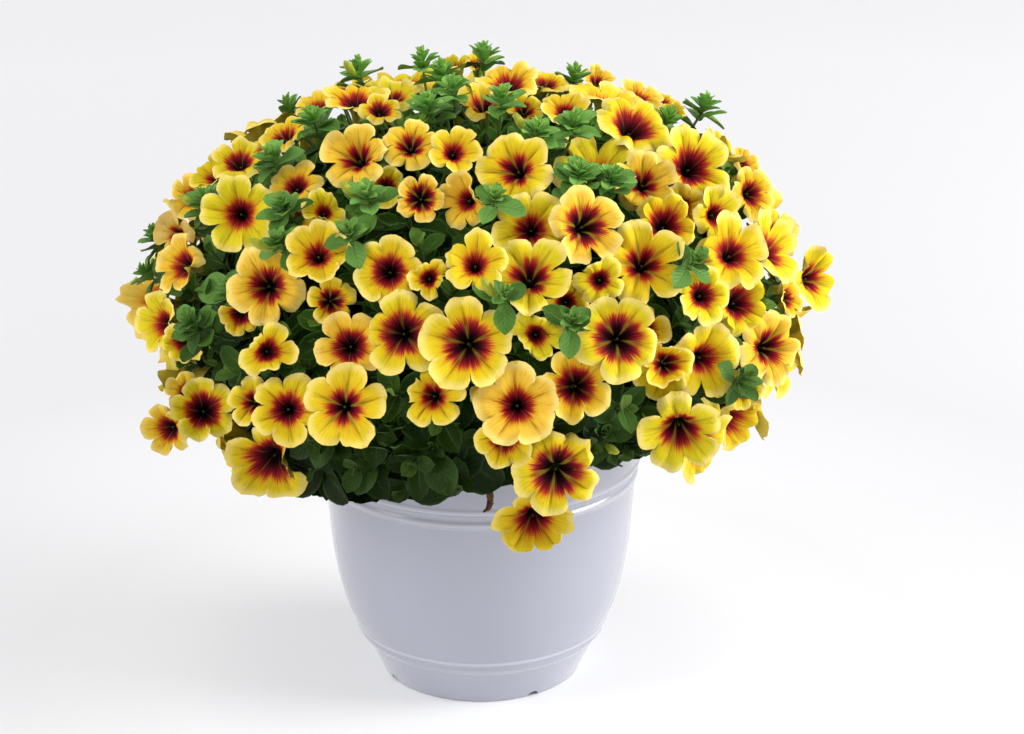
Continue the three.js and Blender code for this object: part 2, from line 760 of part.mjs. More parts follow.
function shootSolid(tip, foot, axis, index, kind) {
  const draft = new Draft();
  const across = anyAcross(axis);
  const start = vary(index, 21) * fullTurn;
  const apex = draft.add(tip.clone());
  const at = (below) => tip.clone().addScaledVector(axis, -below);
  const tiers = shootKinds[kind];
  let upper = draft.ring(at(tiers[0].below), axis, shootTopRadius, across, start);
  upper.forEach((corner, side) => draft.faces.push([apex, corner, upper[(side + 1) % 3]]));
  tiers.forEach((tier, level) => {
    const turn = start + (level + 1) * 0.5;
    const radius = shootRadius + 0.25 * level;
    const lower = draft.ring(at(tier.below + tier.depth), axis, radius, across, turn);
    for (let side = 0; side < 3; side += 1) {
      const channel = 30 + level * 8 + side;
      const leafTurn = turn - 0.25 + ((side + 0.5) / 3) * fullTurn + between(-0.25, 0.25, index, channel);
      const spread = THREE.MathUtils.degToRad(tier.spread + between(-8, 8, index, channel + 50));
      const outward = across.clone().multiplyScalar(Math.cos(leafTurn));
      outward.addScaledVector(axis.clone().cross(across), Math.sin(leafTurn));
      const along = axis.clone().multiplyScalar(Math.cos(spread)).addScaledVector(outward, Math.sin(spread));
      const size = between(0.86, 1.12, index, channel + 100);
      const { length, width, shape } = tier;
      drawLeaf(draft, upper, lower, side, { along, length: length * size, width: width * size, shape });
    }
    upper = lower;
  });
  const toward = tip.clone().sub(foot).normalize();
  const bottom = draft.ring(foot, toward, shootFootRadius, across, start + tiers.length * 0.5);
  draft.sleeve(upper, bottom);
  draft.closeBehind(bottom);
  return draft.solid();
}

function risingShoot(tip, index, kind) {
  const surface = coreFoot(tip);
  const inward = new THREE.Vector3(0, 0, coreMiddleHeight).sub(surface).normalize();
  const foot = surface.clone().addScaledVector(inward, rootDepth);
  const rise = domeNormal(tip).add(new THREE.Vector3(0, 0, 0.45)).normalize();
  const axis = rise.lerp(tip.clone().sub(foot).normalize(), 0.4).normalize();
  return boxed(shootSolid(tip, foot, axis, index, kind));
}

// Blooms are gathered into sprays round seeds that lie as far apart as they can
function gatherSprays(entries) {
  const bases = entries.map(({ bloom }) => bloomBase(bloom));
  const seeds = [0];
  const nearest = bases.map((base) => base.distanceTo(bases[0]));
  while (seeds.length < sprayNodes) {
    const next = nearest.indexOf(Math.max(...nearest));
    seeds.push(next);
    bases.forEach((base, index) => {
      nearest[index] = Math.min(nearest[index], base.distanceTo(bases[next]));
    });
  }
  const sprays = seeds.map(() => []);
  bases.forEach((base, index) => {
    const distances = seeds.map((seed) => base.distanceTo(bases[seed]));
    sprays[distances.indexOf(Math.min(...distances))].push(entries[index]);
  });
  return sprays;
}

// The knot that a spray's stalks grow out of, with an upper face for each stalk and its point at the core
function knotAt(middle, spray) {
  const foot = coreFoot(middle);
  const outward = middle.clone().sub(foot).normalize();
  const joint = foot.clone().addScaledVector(outward, knotHeight);
  const across = anyAcross(outward);
  const upright = outward.clone().cross(across);
  const sides = Math.max(3, spray.length);
  const azimuth = ({ bloom }) => {
    const run = bloomBase(bloom).sub(joint);
    return Math.atan2(run.dot(upright), run.dot(across));
  };
  const ordered = spray.slice().sort((first, second) => azimuth(first) - azimuth(second));
  let best = { fit: -Infinity, turn: 0, shift: 0 };
  for (let step = 0; step < 12; step += 1) {
    for (let shift = 0; shift < sides; shift += 1) {
      const turn = ((step / 12) * fullTurn) / sides;
      const fit = ordered.reduce((sum, entry, place) => {
        const faceTurn = turn + ((place + shift + 0.5) / sides) * fullTurn;
        return sum + Math.cos(faceTurn - azimuth(entry));
      }, 0);
      if (fit > best.fit) {
        best = { fit, turn, shift };
      }
    }
  }
  return { foot, outward, joint, across, sides, ordered, ...best };
}

function drawKnot(draft, knot, used) {
  const radius = knotRadius + 0.3 * knot.sides;
  const waist = draft.ring(knot.joint, knot.outward, radius, knot.across, knot.turn, knot.sides);
  const top = draft.add(knot.joint.clone().addScaledVector(knot.outward, knotRadius));
  const bottom = draft.add(knot.foot.clone().addScaledVector(knot.outward, pieceGap * 1.3));
  const upperFaces = waist.map((corner, side) => [corner, waist[(side + 1) % knot.sides], top]);
  draft.faces.push(...upperFaces.filter((_, side) => !used.includes(side)));
  waist.forEach((corner, side) => draft.faces.push([waist[(side + 1) % knot.sides], corner, bottom]));
  return upperFaces;
}

function knotFace(knot, place) {
  return (place + knot.shift) % knot.sides;
}

// One bloom and its stalk as a solid of its own, cut off where it meets the knot
function stalkedBloom(knot, bloom, place, elbows) {
  const draft = new Draft();
  const upperFaces = drawKnot(draft, knot, []);
  draft.faces = [];
  const target = upperFaces[knotFace(knot, place)];
  drawStalk(draft, bloom, drawBloom(draft, bloom), elbows, target);
  draft.closeBehind(target);
  const kept = [...new Set(draft.faces.flat())];
  const faces = draft.faces.map((face) => face.map((corner) => kept.indexOf(corner)));
  const alone = new Draft();
  alone.points = kept.map((corner) => draft.points[corner]);
  alone.faces = faces;
  return boxed(alone.solid());
}

// The ways that a bloom's stalk may take to its knot, the straightest first
const sharpestTurn = -0.35;
const neckLength = 6;
const elbowShares = [0.5, 0.75, 0.25];
const elbowAsides = [5, 9, 13];

function elbowChoices(bloom, joint) {
  const base = bloomBase(bloom);
  const run = joint.clone().sub(base);
  const sharp = run.clone().normalize().dot(bloom.facing) > sharpestTurn;
  const bend = base.clone().addScaledVector(bloom.facing, -neckLength);
  const choices = sharp ? [[bend]] : [[], [bend]];
  for (const share of elbowShares) {
    for (const shift of asides(run.clone().normalize(), elbowAsides, 8).slice(1)) {
      choices.push([base.clone().addScaledVector(run, share).add(shift)]);
    }
  }
  return choices;
}

function placeKnot(spray, others) {
  const middle = new THREE.Vector3();
  spray.forEach(({ bloom }) => middle.addScaledVector(bloomBase(bloom), 1 / spray.length));
  const outward = domeNormal(middle);
  const tried = asides(outward, [7, 14], 6).map((shift) => {
    const knot = knotAt(middle.clone().add(shift), spray);
    const draft = new Draft();
    drawKnot(draft, knot, []);
    return { knot, entry: boxed(draft.solid()) };
  });
  return tried.find(({ entry }) => crossing(entry, others).length === 0) ?? tried[0];
}

function growSpray(spray, entries, grown) {
  const { knot, entry: knotEntry } = placeKnot(spray, [...grown, ...entries]);
  const own = [knotEntry];
  const chosen = knot.ordered.map((settled, place) => {
    const others = [...grown, ...own, ...entries.filter((entry) => entry !== settled)];
    let best = null;
    for (const elbows of elbowChoices(settled.bloom, knot.joint)) {
      const entry = stalkedBloom(knot, settled.bloom, place, elbows);
      const met = crossing(entry, others).length;
      if (best === null || met < best.met) {
        best = { entry, elbows, met };
      }
      if (met === 0) {
        break;
      }
    }
    own.push(best.entry);
    return best;
  });
  if (chosen.some(({ met }) => met > 0)) {
    return boxed(library.Manifold.union(own.map(({ solid }) => solid)));
  }
  const draft = new Draft();
  const upperFaces = drawKnot(draft, knot, chosen.map((_, place) => knotFace(knot, place)));
  chosen.forEach(({ elbows }, place) => {
    const { bloom } = knot.ordered[place];
    drawStalk(draft, bloom, drawBloom(draft, bloom), elbows, upperFaces[knotFace(knot, place)]);
  });
  return boxed(draft.solid());
}

function growSprays(entries, obstacles) {
  const grown = [...obstacles];
  return gatherSprays(entries).map((spray) => {
    const body = growSpray(spray, entries, grown);
    grown.push(body);
    return body;
  });
}

// Sprays that still cross grow together as one
function joinCrossing(bodies) {
  const joined = [];
  for (const body of bodies) {
    let whole = body;
    for (;;) {
      const met = crossing(whole, joined);
      if (met.length === 0) {
        break;
      }
      met.forEach((other) => joined.splice(joined.indexOf(other), 1));
      whole = boxed(library.Manifold.union([whole.solid, ...met.map((other) => other.solid)]));
    }
    joined.push(whole);
  }
  return joined;
}

function seenShootTips() {
  return seenShoots.map(({ across, down }) => {
    const { point } = seenPoint(across, down);
    return point.addScaledVector(domeNormal(point), shootStandOut);
  });
}

// Shoots wherever the blooms leave room: tall ones that stand out of them where the photograph doesn't show
// the plant, and inner ones that stay below them on every side
const fillings = {
  tall: { wanted: 10, room: 23, standOut: shootStandOut, firstIndex: 200 },
  inner: { wanted: 9, room: 25, standOut: -20, firstIndex: 1000 },
};
const fillingSteps = 300;

function fillingShoots(kind, taken, obstacles) {
  const { wanted, room, standOut, firstIndex } = fillings[kind];
  const kept = [];
  for (let step = 0; step < fillingSteps && kept.length < wanted; step += 1) {
    const surface = spiralPoint(step, fillingSteps);
    const tip = surface.clone().addScaledVector(domeNormal(surface), standOut);
    if ((kind === "inner" || hiddenFromEye(surface)) && farFrom(surface, taken, room)) {
      const entry = risingShoot(tip, firstIndex + step, kind);
      if (crossing(entry, obstacles).length === 0) {
        kept.push(entry);
        taken.push(surface);
      }
    }
  }
  return kept;
}

// Large leaves round the lower edge, that hang over the rim lower on the left than on the right
const skirtTiers = [
  { count: 17, radius: 124, height: 175, reach: 0.5, fall: 0.55 },
  { count: 13, radius: 158, height: 194, reach: 0.8, fall: 0.1 },
];
const skirtTries = 8;

function skirtShoot(tier, level, step, attempt) {
  const index = 500 + level * 50 + step;
  const aside = between(-0.15, 0.15, index, 60) + between(-0.3, 0.3, attempt, 62) * Math.min(attempt, 1);
  const azimuth = ((step + 0.5 * level + aside) / tier.count) * fullTurn;
  const radial = new THREE.Vector3(Math.cos(azimuth), Math.sin(azimuth), 0);
  const lower = 6 * (1 - Math.cos(azimuth)) - 4 + between(-4, 4, index, 61) - 1.5 * attempt;
  const tip = radial.clone().multiplyScalar(tier.radius - attempt).setZ(tier.height - lower);
  const surface = coreFoot(tip.clone().setZ(tip.z + 12));
  const inward = new THREE.Vector3(0, 0, coreMiddleHeight).sub(surface).normalize();
  const foot = surface.addScaledVector(inward, rootDepth);
  const axis = radial.multiplyScalar(tier.reach).add(new THREE.Vector3(0, 0, -tier.fall)).normalize();
  return boxed(shootSolid(tip, foot, axis, index + attempt * 1000, "skirt"));
}

function skirtShoots(obstacles) {
  const kept = [];
  skirtTiers.forEach((tier, level) => {
    for (let step = 0; step < tier.count; step += 1) {
      for (let attempt = 0; attempt < skirtTries; attempt += 1) {
        const entry = skirtShoot(tier, level, step, attempt);
        if (crossing(entry, obstacles).length === 0) {
          kept.push(entry);
          break;
        }
      }
    }
  });
  return kept;
}

// The one brown spent bloom, which hangs limp from the leafy mass in front of the rim
const wiltedRings = [
  [3.5, -118, 184, 1],
  [3.4, -117.6, 177, 1.3],
  [4, -117, 172, 2.9],
  [4.6, -116.6, 165, 3.4],
  [3.6, -116, 157, 1.9],
  [3, -115.4, 152, 0.8],
];

function makeWilted() {
  const draft = new Draft();
  const down = new THREE.Vector3(0, 0, 1);
  const reference = new THREE.Vector3(1, 0, 0);
  const rings = wiltedRings.map(([x, y, z, radius], step) => {
    return draft.ring(new THREE.Vector3(x, y, z), down, radius, reference, step * 0.3, 5);
  });
  draft.closeFront(rings[0]);
  rings.slice(1).forEach((ring, step) => draft.sleeve(rings[step], ring));
  draft.closeBehind(rings.at(-1));
  return draft.solid();
}

function growPlant() {
  const tips = seenShootTips();
  const seen = tips.map((tip, index) => risingShoot(tip, index, "tall"));
  const pot = boxed(makePot());
  const wilted = boxed(makeWilted());
  const core = boxed(makeCore());
  const obstacles = [boxed(makeCore(clearScale)), ...seen, pot, wilted];
  const settled = settleBlooms(arrangeBlooms(tips), obstacles);
  const sprays = joinCrossing(growSprays(settled, obstacles));
  const shoots = seen.filter((entry) => crossing(entry, sprays).length === 0);
  const taken = [...settled.map(({ bloom }) => bloom.middle), ...tips];
  const tall = fillingShoots("tall", taken, sprays);
  const inner = fillingShoots("inner", taken, sprays);
  const skirt = skirtShoots([pot, wilted, ...sprays]);
  const green = [core, ...shoots, ...tall, ...inner, ...skirt].map(({ solid }) => solid);
  const stems = Array.from({ length: stemCount }, (_, index) => makeStem(index, stemRadius, stemFoot));
  const foliage = library.Manifold.union([...green, ...stems]);
  return { foliage, sprays };
}

function named(name, solid, colour, roughness) {
  const material = new THREE.MeshStandardMaterial({ color: colour, roughness, metalness: 0 });
  const mesh = new THREE.Mesh(geometryOfSolid(solid), material);
  mesh.name = name;
  return mesh;
}

const petunia = new THREE.Group();
petunia.add(named("pot", makePot(), 0xc3c5d2, 0.4));
petunia.add(named("soil", makeSoil(), 0x3a2a1e, 0.95));
const plant = growPlant();
petunia.add(named("foliage", plant.foliage, 0x3f6b3a, 0.6));
petunia.add(named("wilted_bloom", makeWilted(), 0x5a3a24, 0.8));
plant.sprays.forEach(({ solid }, index) => {
  petunia.add(named(`bloom_spray_${String(index + 1).padStart(2, "0")}`, solid, 0xf0c93a, 0.55));
});

export default petunia;
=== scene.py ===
"""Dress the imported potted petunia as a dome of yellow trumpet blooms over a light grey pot.

Lengths are metres in the frame's own axes: +Z up, the pot's axis at the origin, -Y towards the viewer.
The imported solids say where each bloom, stalk and leaf stands. This script reads those coarse forms and
grows a fine surface through each of them, so that nothing has to be fitted by hand.
"""

import logging
import math
from dataclasses import dataclass, field, fields, replace
from enum import IntEnum

import bpy
import numpy as np
from mathutils import Matrix, Vector

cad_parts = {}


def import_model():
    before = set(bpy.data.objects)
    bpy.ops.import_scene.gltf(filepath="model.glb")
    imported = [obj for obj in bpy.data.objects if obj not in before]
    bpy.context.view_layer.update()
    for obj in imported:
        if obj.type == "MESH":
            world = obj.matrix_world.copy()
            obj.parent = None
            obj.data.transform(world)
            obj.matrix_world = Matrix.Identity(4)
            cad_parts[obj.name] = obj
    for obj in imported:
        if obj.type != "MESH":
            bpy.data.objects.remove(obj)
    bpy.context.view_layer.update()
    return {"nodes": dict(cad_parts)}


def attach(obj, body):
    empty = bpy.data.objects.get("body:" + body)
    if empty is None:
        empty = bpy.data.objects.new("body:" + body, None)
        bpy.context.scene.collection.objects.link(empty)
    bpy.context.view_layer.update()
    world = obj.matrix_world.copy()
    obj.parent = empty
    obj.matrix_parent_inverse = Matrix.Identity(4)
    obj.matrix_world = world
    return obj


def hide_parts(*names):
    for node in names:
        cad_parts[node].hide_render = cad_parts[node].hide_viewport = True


log = logging.getLogger("petunia")

FULL_TURN = 2.0 * math.pi
GOLDEN_ANGLE = math.pi * (3.0 - math.sqrt(5.0))
UP = np.array([0.0, 0.0, 1.0])
IMAGE_WIDTH = 1024
SHARP_ANGLE = math.radians(75.0)
PETALS = 5
LEAF_DROOP = 0.12
TINY = 1e-6
GOLDEN_SHARE = 0.618
SEED_STRIDE = 40.0
LATHE_COLUMNS = 96

# How a turned profile's corners are rounded: the cosine over which a turn is gentle, the share of an edge
# that a gentle corner's curve takes up, and how far from a sharp corner its arc starts.
GENTLE_COSINE = 0.97
GENTLE_SHARE = 0.42
SHARP_ARC = 0.0009

Colour = tuple[float, float, float]
Place = tuple[float, float, float]
Profile = tuple[tuple[float, float], ...]

# The tube's profile in bloom radii, from its foot to the throat's mouth, as distance and height.
TUBE_REACH = (0.0, 0.075, 0.085, 0.125, 0.19, 0.27)
TUBE_HEIGHT = (-1.12, -1.06, -0.74, -0.53, -0.37, -0.26)
THROAT_REACH = TUBE_REACH[-1]
THROAT_HEIGHT = TUBE_HEIGHT[-1]


def unit(vectors: np.ndarray) -> np.ndarray:
    """Scale vectors, held along the last axis, to length one."""
    lengths = np.linalg.norm(vectors, axis=-1, keepdims=True)
    return vectors / np.maximum(lengths, 1e-12)


def squared(vectors: np.ndarray, axes: np.ndarray) -> np.ndarray:
    """Turn vectors square to unit axes, at length one."""
    return unit(vectors - (vectors * axes).sum(-1, keepdims=True) * axes)


def across(directions: np.ndarray) -> np.ndarray:
    """Give a unit vector square to each direction, close to level where that is possible."""
    side = np.cross(np.broadcast_to(UP, directions.shape), directions)
    steep = np.linalg.norm(side, axis=-1, keepdims=True) < 1e-3
    return unit(np.where(steep, np.array([1.0, 0.0, 0.0]), side))


def swing(turns: np.ndarray, first: np.ndarray, second: np.ndarray) -> np.ndarray:
    """Give the direction at each turn from first towards second."""
    return np.cos(turns)[..., None] * first + np.sin(turns)[..., None] * second


def smooth(values: np.ndarray, low: float = 0.0, high: float = 1.0) -> np.ndarray:
    """Ease from 0 at low to 1 at high, with no slope at either end."""
    share = np.clip((values - low) / (high - low), 0.0, 1.0)
    return share * share * (3.0 - 2.0 * share)


def even_turns(count: int) -> np.ndarray:
    """Give evenly spread angles round a circle."""
    return FULL_TURN * np.arange(count) / count


def turned(turns: np.ndarray, radius: np.ndarray | float, height: np.ndarray | float) -> np.ndarray:
    """Place points by their angle, their distance from the axis and their height."""
    return np.stack(np.broadcast_arrays(radius * np.cos(turns), radius * np.sin(turns), height), -1)


def linked(piece: bpy.types.Object) -> bpy.types.Object:
    """Put an object into the scene."""
    bpy.context.scene.collection.objects.link(piece)
    return piece


def grid_quads(columns: int, rows: int, closed: bool) -> np.ndarray:
    """Number the quads of a grid of columns x rows places, as four grid places each.

    They run counterclockwise seen from the side that the column's direction x the row's points to. In a
    closed grid the last column joins the first.
    """
    column = np.arange(columns if closed else columns - 1)[:, None]
    row = np.arange(rows - 1)[None, :]
    after = (column + 1) % columns
    here, beside = column * rows + row, after * rows + row
    return np.stack([here, beside, beside + 1, here + 1], -1).reshape(-1, 4)


def grid_shares(columns: np.ndarray, rows: np.ndarray) -> np.ndarray:
    """Give the two surface parameters of each grid place, from those of its column and its row."""
    return np.stack(np.meshgrid(columns, rows, indexing="ij"), -1).reshape(-1, 2)


class Skin(IntEnum):
    """The surfaces that a plant piece is made of, in the order of its material slots."""

    PETAL_FACE = 0
    PETAL_BACK = 1
    STALK = 2
    LEAF = 3
    BUD = 4
    STIGMA = 5
    DRY = 6
    SHADE = 7


@dataclass(frozen=True)
class Patch:
    """The faces of one closed grid surface.

    Attributes:
        picks: The grid place behind each vertex.
        quads: Four vertex numbers for each four-sided face.
        quad_places: The grid places of those corners, for reading the surface's two parameters.
        triangles: Three vertex numbers for each triangle.
        triangle_places: The grid places of those corners.
    """

    picks: np.ndarray
    quads: np.ndarray
    quad_places: np.ndarray
    triangles: np.ndarray
    triangle_places: np.ndarray

    @classmethod
    def weld(cls, aliases: np.ndarray, quads: np.ndarray) -> "Patch":
        """Join the places that share an alias, and turn quads that lose a corner into triangles.

        Args:
            aliases: For every grid place, the place that stands for it.
            quads: Four grid places for each face, counterclockwise from outside.
        """
        picks, numbers = np.unique(aliases, return_inverse=True)
        corners = numbers[quads]
        same = corners == np.roll(corners, -1, axis=1)
        whole = ~same.any(axis=1)
        thin = same.sum(axis=1) == 1
        gone = np.argmax(same[thin], axis=1)
        keep = (gone[:, None] + np.arange(1, 4)[None, :]) % 4
        rows = np.arange(len(gone))[:, None]
        return cls(picks, corners[whole], quads[whole], corners[thin][rows, keep], quads[thin][rows, keep])


class Draft:
    """A piece under construction, gathered as whole arrays before it becomes one mesh."""

    def __init__(self) -> None:
        """Start with no vertices."""
        self.count = 0
        self.points: list[np.ndarray] = []
        self.tones: list[np.ndarray] = []
        self.corners: list[np.ndarray] = []
        self.places: list[np.ndarray] = []
        self.sizes: list[np.ndarray] = []
        self.skins: list[np.ndarray] = []

    def add(
        self,
        patch: Patch,
        grids: np.ndarray,
        parameters: np.ndarray,
        tones: np.ndarray,
        skins: np.ndarray | int,
    ) -> None:
        """Append copies of a patch, one for each grid of points.

        Args:
            patch: The shared faces.
            grids: Points of each copy, as copies x grid places x 3.
            parameters: The two surface parameters of each grid place.
            tones: Four numbers that vary the finish of each copy.
            skins: One material slot for all, or one for each grid place. A face takes its corners' highest.
        """
        copies, size = len(grids), len(patch.picks)
        starts = self.count + size * np.arange(copies)[:, None, None]
        slots = np.broadcast_to(skins, len(parameters))
        self.points.append(grids[:, patch.picks].reshape(-1, 3))
        self.tones.append(np.repeat(tones, size, axis=0))
        for corners, places in ((patch.quads, patch.quad_places), (patch.triangles, patch.triangle_places)):
            self.corners.append((starts + corners).reshape(-1))
            self.places.append(np.tile(parameters[places], (copies, 1, 1)).reshape(-1, 2))
            self.sizes.append(np.full(copies * len(corners), corners.shape[1]))
            self.skins.append(np.tile(slots[places].max(axis=1), copies))
        self.count += copies * size

    def add_round(
        self, points: np.ndarray, around: np.ndarray, along: np.ndarray, hue: float, skin: int
    ) -> None:
        """Append a surface that closes round an axis and whose first and last rows are each one point.

        Args:
            points: Its points, as columns x rows x 3.
            around: First surface parameter of each column.
            along: Second surface parameter of each row.
            hue: Number that varies its finish.
            skin: Its material slot.
        """
        columns, rows = points.shape[:2]
        aliases = np.arange(columns * rows).reshape(columns, rows)
        aliases[:, [0, -1]] = aliases[0, [0, -1]]
        patch = Patch.weld(aliases.reshape(-1), grid_quads(columns, rows, True))
        tones = np.array([[hue, 0.5, 0.0, 0.5]])
        self.add(patch, points.reshape(1, -1, 3), grid_shares(around, along), tones, skin)

    def add_tube(self, path: np.ndarray, radii: np.ndarray, sides: int, hue: float, skin: int) -> None:
        """Append a closed tube: circles carried along a path, with a cap at each end.

        Args:
            path: Points along the middle of the tube.
            radii: Radius at each point, or at each point and each side.
            sides: Corners of each circle.
            hue: Number that varies its finish.
            skin: Its material slot.
        """
        heading = unit(np.gradient(path, axis=0))
        first = across(heading)
        for step in range(1, len(path)):
            if np.dot(first[step], first[step - 1]) < 0.0:
                first[step] *= -1.0
        turns = even_turns(sides)
        circles = swing(turns, first[:, None], np.cross(heading, first)[:, None])
        rings = path[:, None] + radii.reshape(len(path), -1, 1) * circles
        start, end = (np.repeat(point[None, None], sides, axis=1) for point in path[[0, -1]])
        rings = np.concatenate([start, rings, end])
        along = np.concatenate([[0.0], np.linspace(0.0, 1.0, len(path)), [1.0]])
        self.add_round(rings.swapaxes(0, 1), turns / FULL_TURN, along, hue, skin)

    def build(self, name: str, materials: list[bpy.types.Material]) -> bpy.types.Object:
        """Make the mesh and its object, with the parameters as a UV map and the tones as a colour."""
        points = np.concatenate(self.points).astype(np.float32)
        corners = np.concatenate(self.corners).astype(np.int32)
        sizes = np.concatenate(self.sizes).astype(np.int32)
        mesh = bpy.data.meshes.new(name)
        mesh.vertices.add(len(points))
        mesh.vertices.foreach_set("co", points.reshape(-1))
        mesh.loops.add(len(corners))
        mesh.loops.foreach_set("vertex_index", corners)
        mesh.polygons.add(len(sizes))
        mesh.polygons.foreach_set("loop_start", (np.cumsum(sizes) - sizes).astype(np.int32))
        mesh.polygons.foreach_set("material_index", np.concatenate(self.skins).astype(np.int32))
        mesh.update(calc_edges=True)
        mesh.shade_smooth()
        mesh.set_sharp_from_angle(angle=SHARP_ANGLE)
        layer = mesh.uv_layers.new(name="grain")
        layer.uv.foreach_set("vector", np.concatenate(self.places).astype(np.float32).reshape(-1))
        tone = mesh.color_attributes.new("tone", "FLOAT_COLOR", "POINT")
        tone.data.foreach_set("color", np.concatenate(self.tones).astype(np.float32).reshape(-1))
        for material in materials:
            mesh.materials.append(material)
        return linked(bpy.data.objects.new(name, mesh))


class WeldedSolid:
    """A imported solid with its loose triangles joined, so that its corners' neighbours can be read."""

    ROUNDING = 1e6

    def __init__(self, node: bpy.types.Object) -> None:
        """Read a frame node."""
        mesh = node.data
        coordinates = np.empty(len(mesh.vertices) * 3, np.float32)
        mesh.vertices.foreach_get("co", coordinates)
        loose = coordinates.reshape(-1, 3).astype(float)
        steps = np.round(loose * self.ROUNDING).astype(np.int64)
        _, firsts, numbers = np.unique(steps, axis=0, return_index=True, return_inverse=True)
        loops = np.empty(len(mesh.loops), np.int32)
        mesh.loops.foreach_get("vertex_index", loops)
        self.points = loose[firsts]
        self.near: list[set[int]] = [set() for _ in self.points]
        for triangle in numbers.reshape(-1)[loops].reshape(-1, 3).tolist():
            for corner in triangle:
                self.near[corner].update(triangle)
        for corner, ring in enumerate(self.near):
            ring.discard(corner)

    def middle(self, corners: list[int] | set[int]) -> np.ndarray:
        """Give the mean place of some corners."""
        return self.points[list(corners)].mean(axis=0)

    def beyond(self, corners: set[int]) -> set[int]:
        """Give every neighbour of some corners."""
        return set().union(*(self.near[corner] for corner in corners))


@dataclass(frozen=True)
class Bloom:
    """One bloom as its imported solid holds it.

    Attributes:
        middle: Middle of the rim.
        facing: The way that the bloom looks.
        first: Square to facing, towards the first notch between petals.
        radius: Nominal radius of the rim.
        reach: Distance of each petal's notch and two shoulders from the axis, in radii.
        height: Height of the same points above the middle, in radii.
        stalk: Points from the foot of the tube to the knot of its spray.
        order: Number that seeds its variety.
    """

    middle: np.ndarray
    facing: np.ndarray
    first: np.ndarray
    radius: float
    reach: np.ndarray
    height: np.ndarray
    stalk: np.ndarray
    order: int


@dataclass(frozen=True)
class Leaf:
    """One packed leaf: where it starts, where it points, its size, and its rounding from 0 to 1."""

    root: np.ndarray
    along: np.ndarray
    upward: np.ndarray
    length: float
    width: float
    rounding: float


@dataclass(frozen=True)
class Shoot:
    """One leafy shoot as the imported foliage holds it, from its tip down to its lowest leaves."""

    tip: np.ndarray
    foot: np.ndarray
    leaves: tuple[Leaf, ...]

    @property
    def rounded(self) -> bool:
        """Whether its leaves are old and round."""
        return self.leaves[0].rounding > 0.5


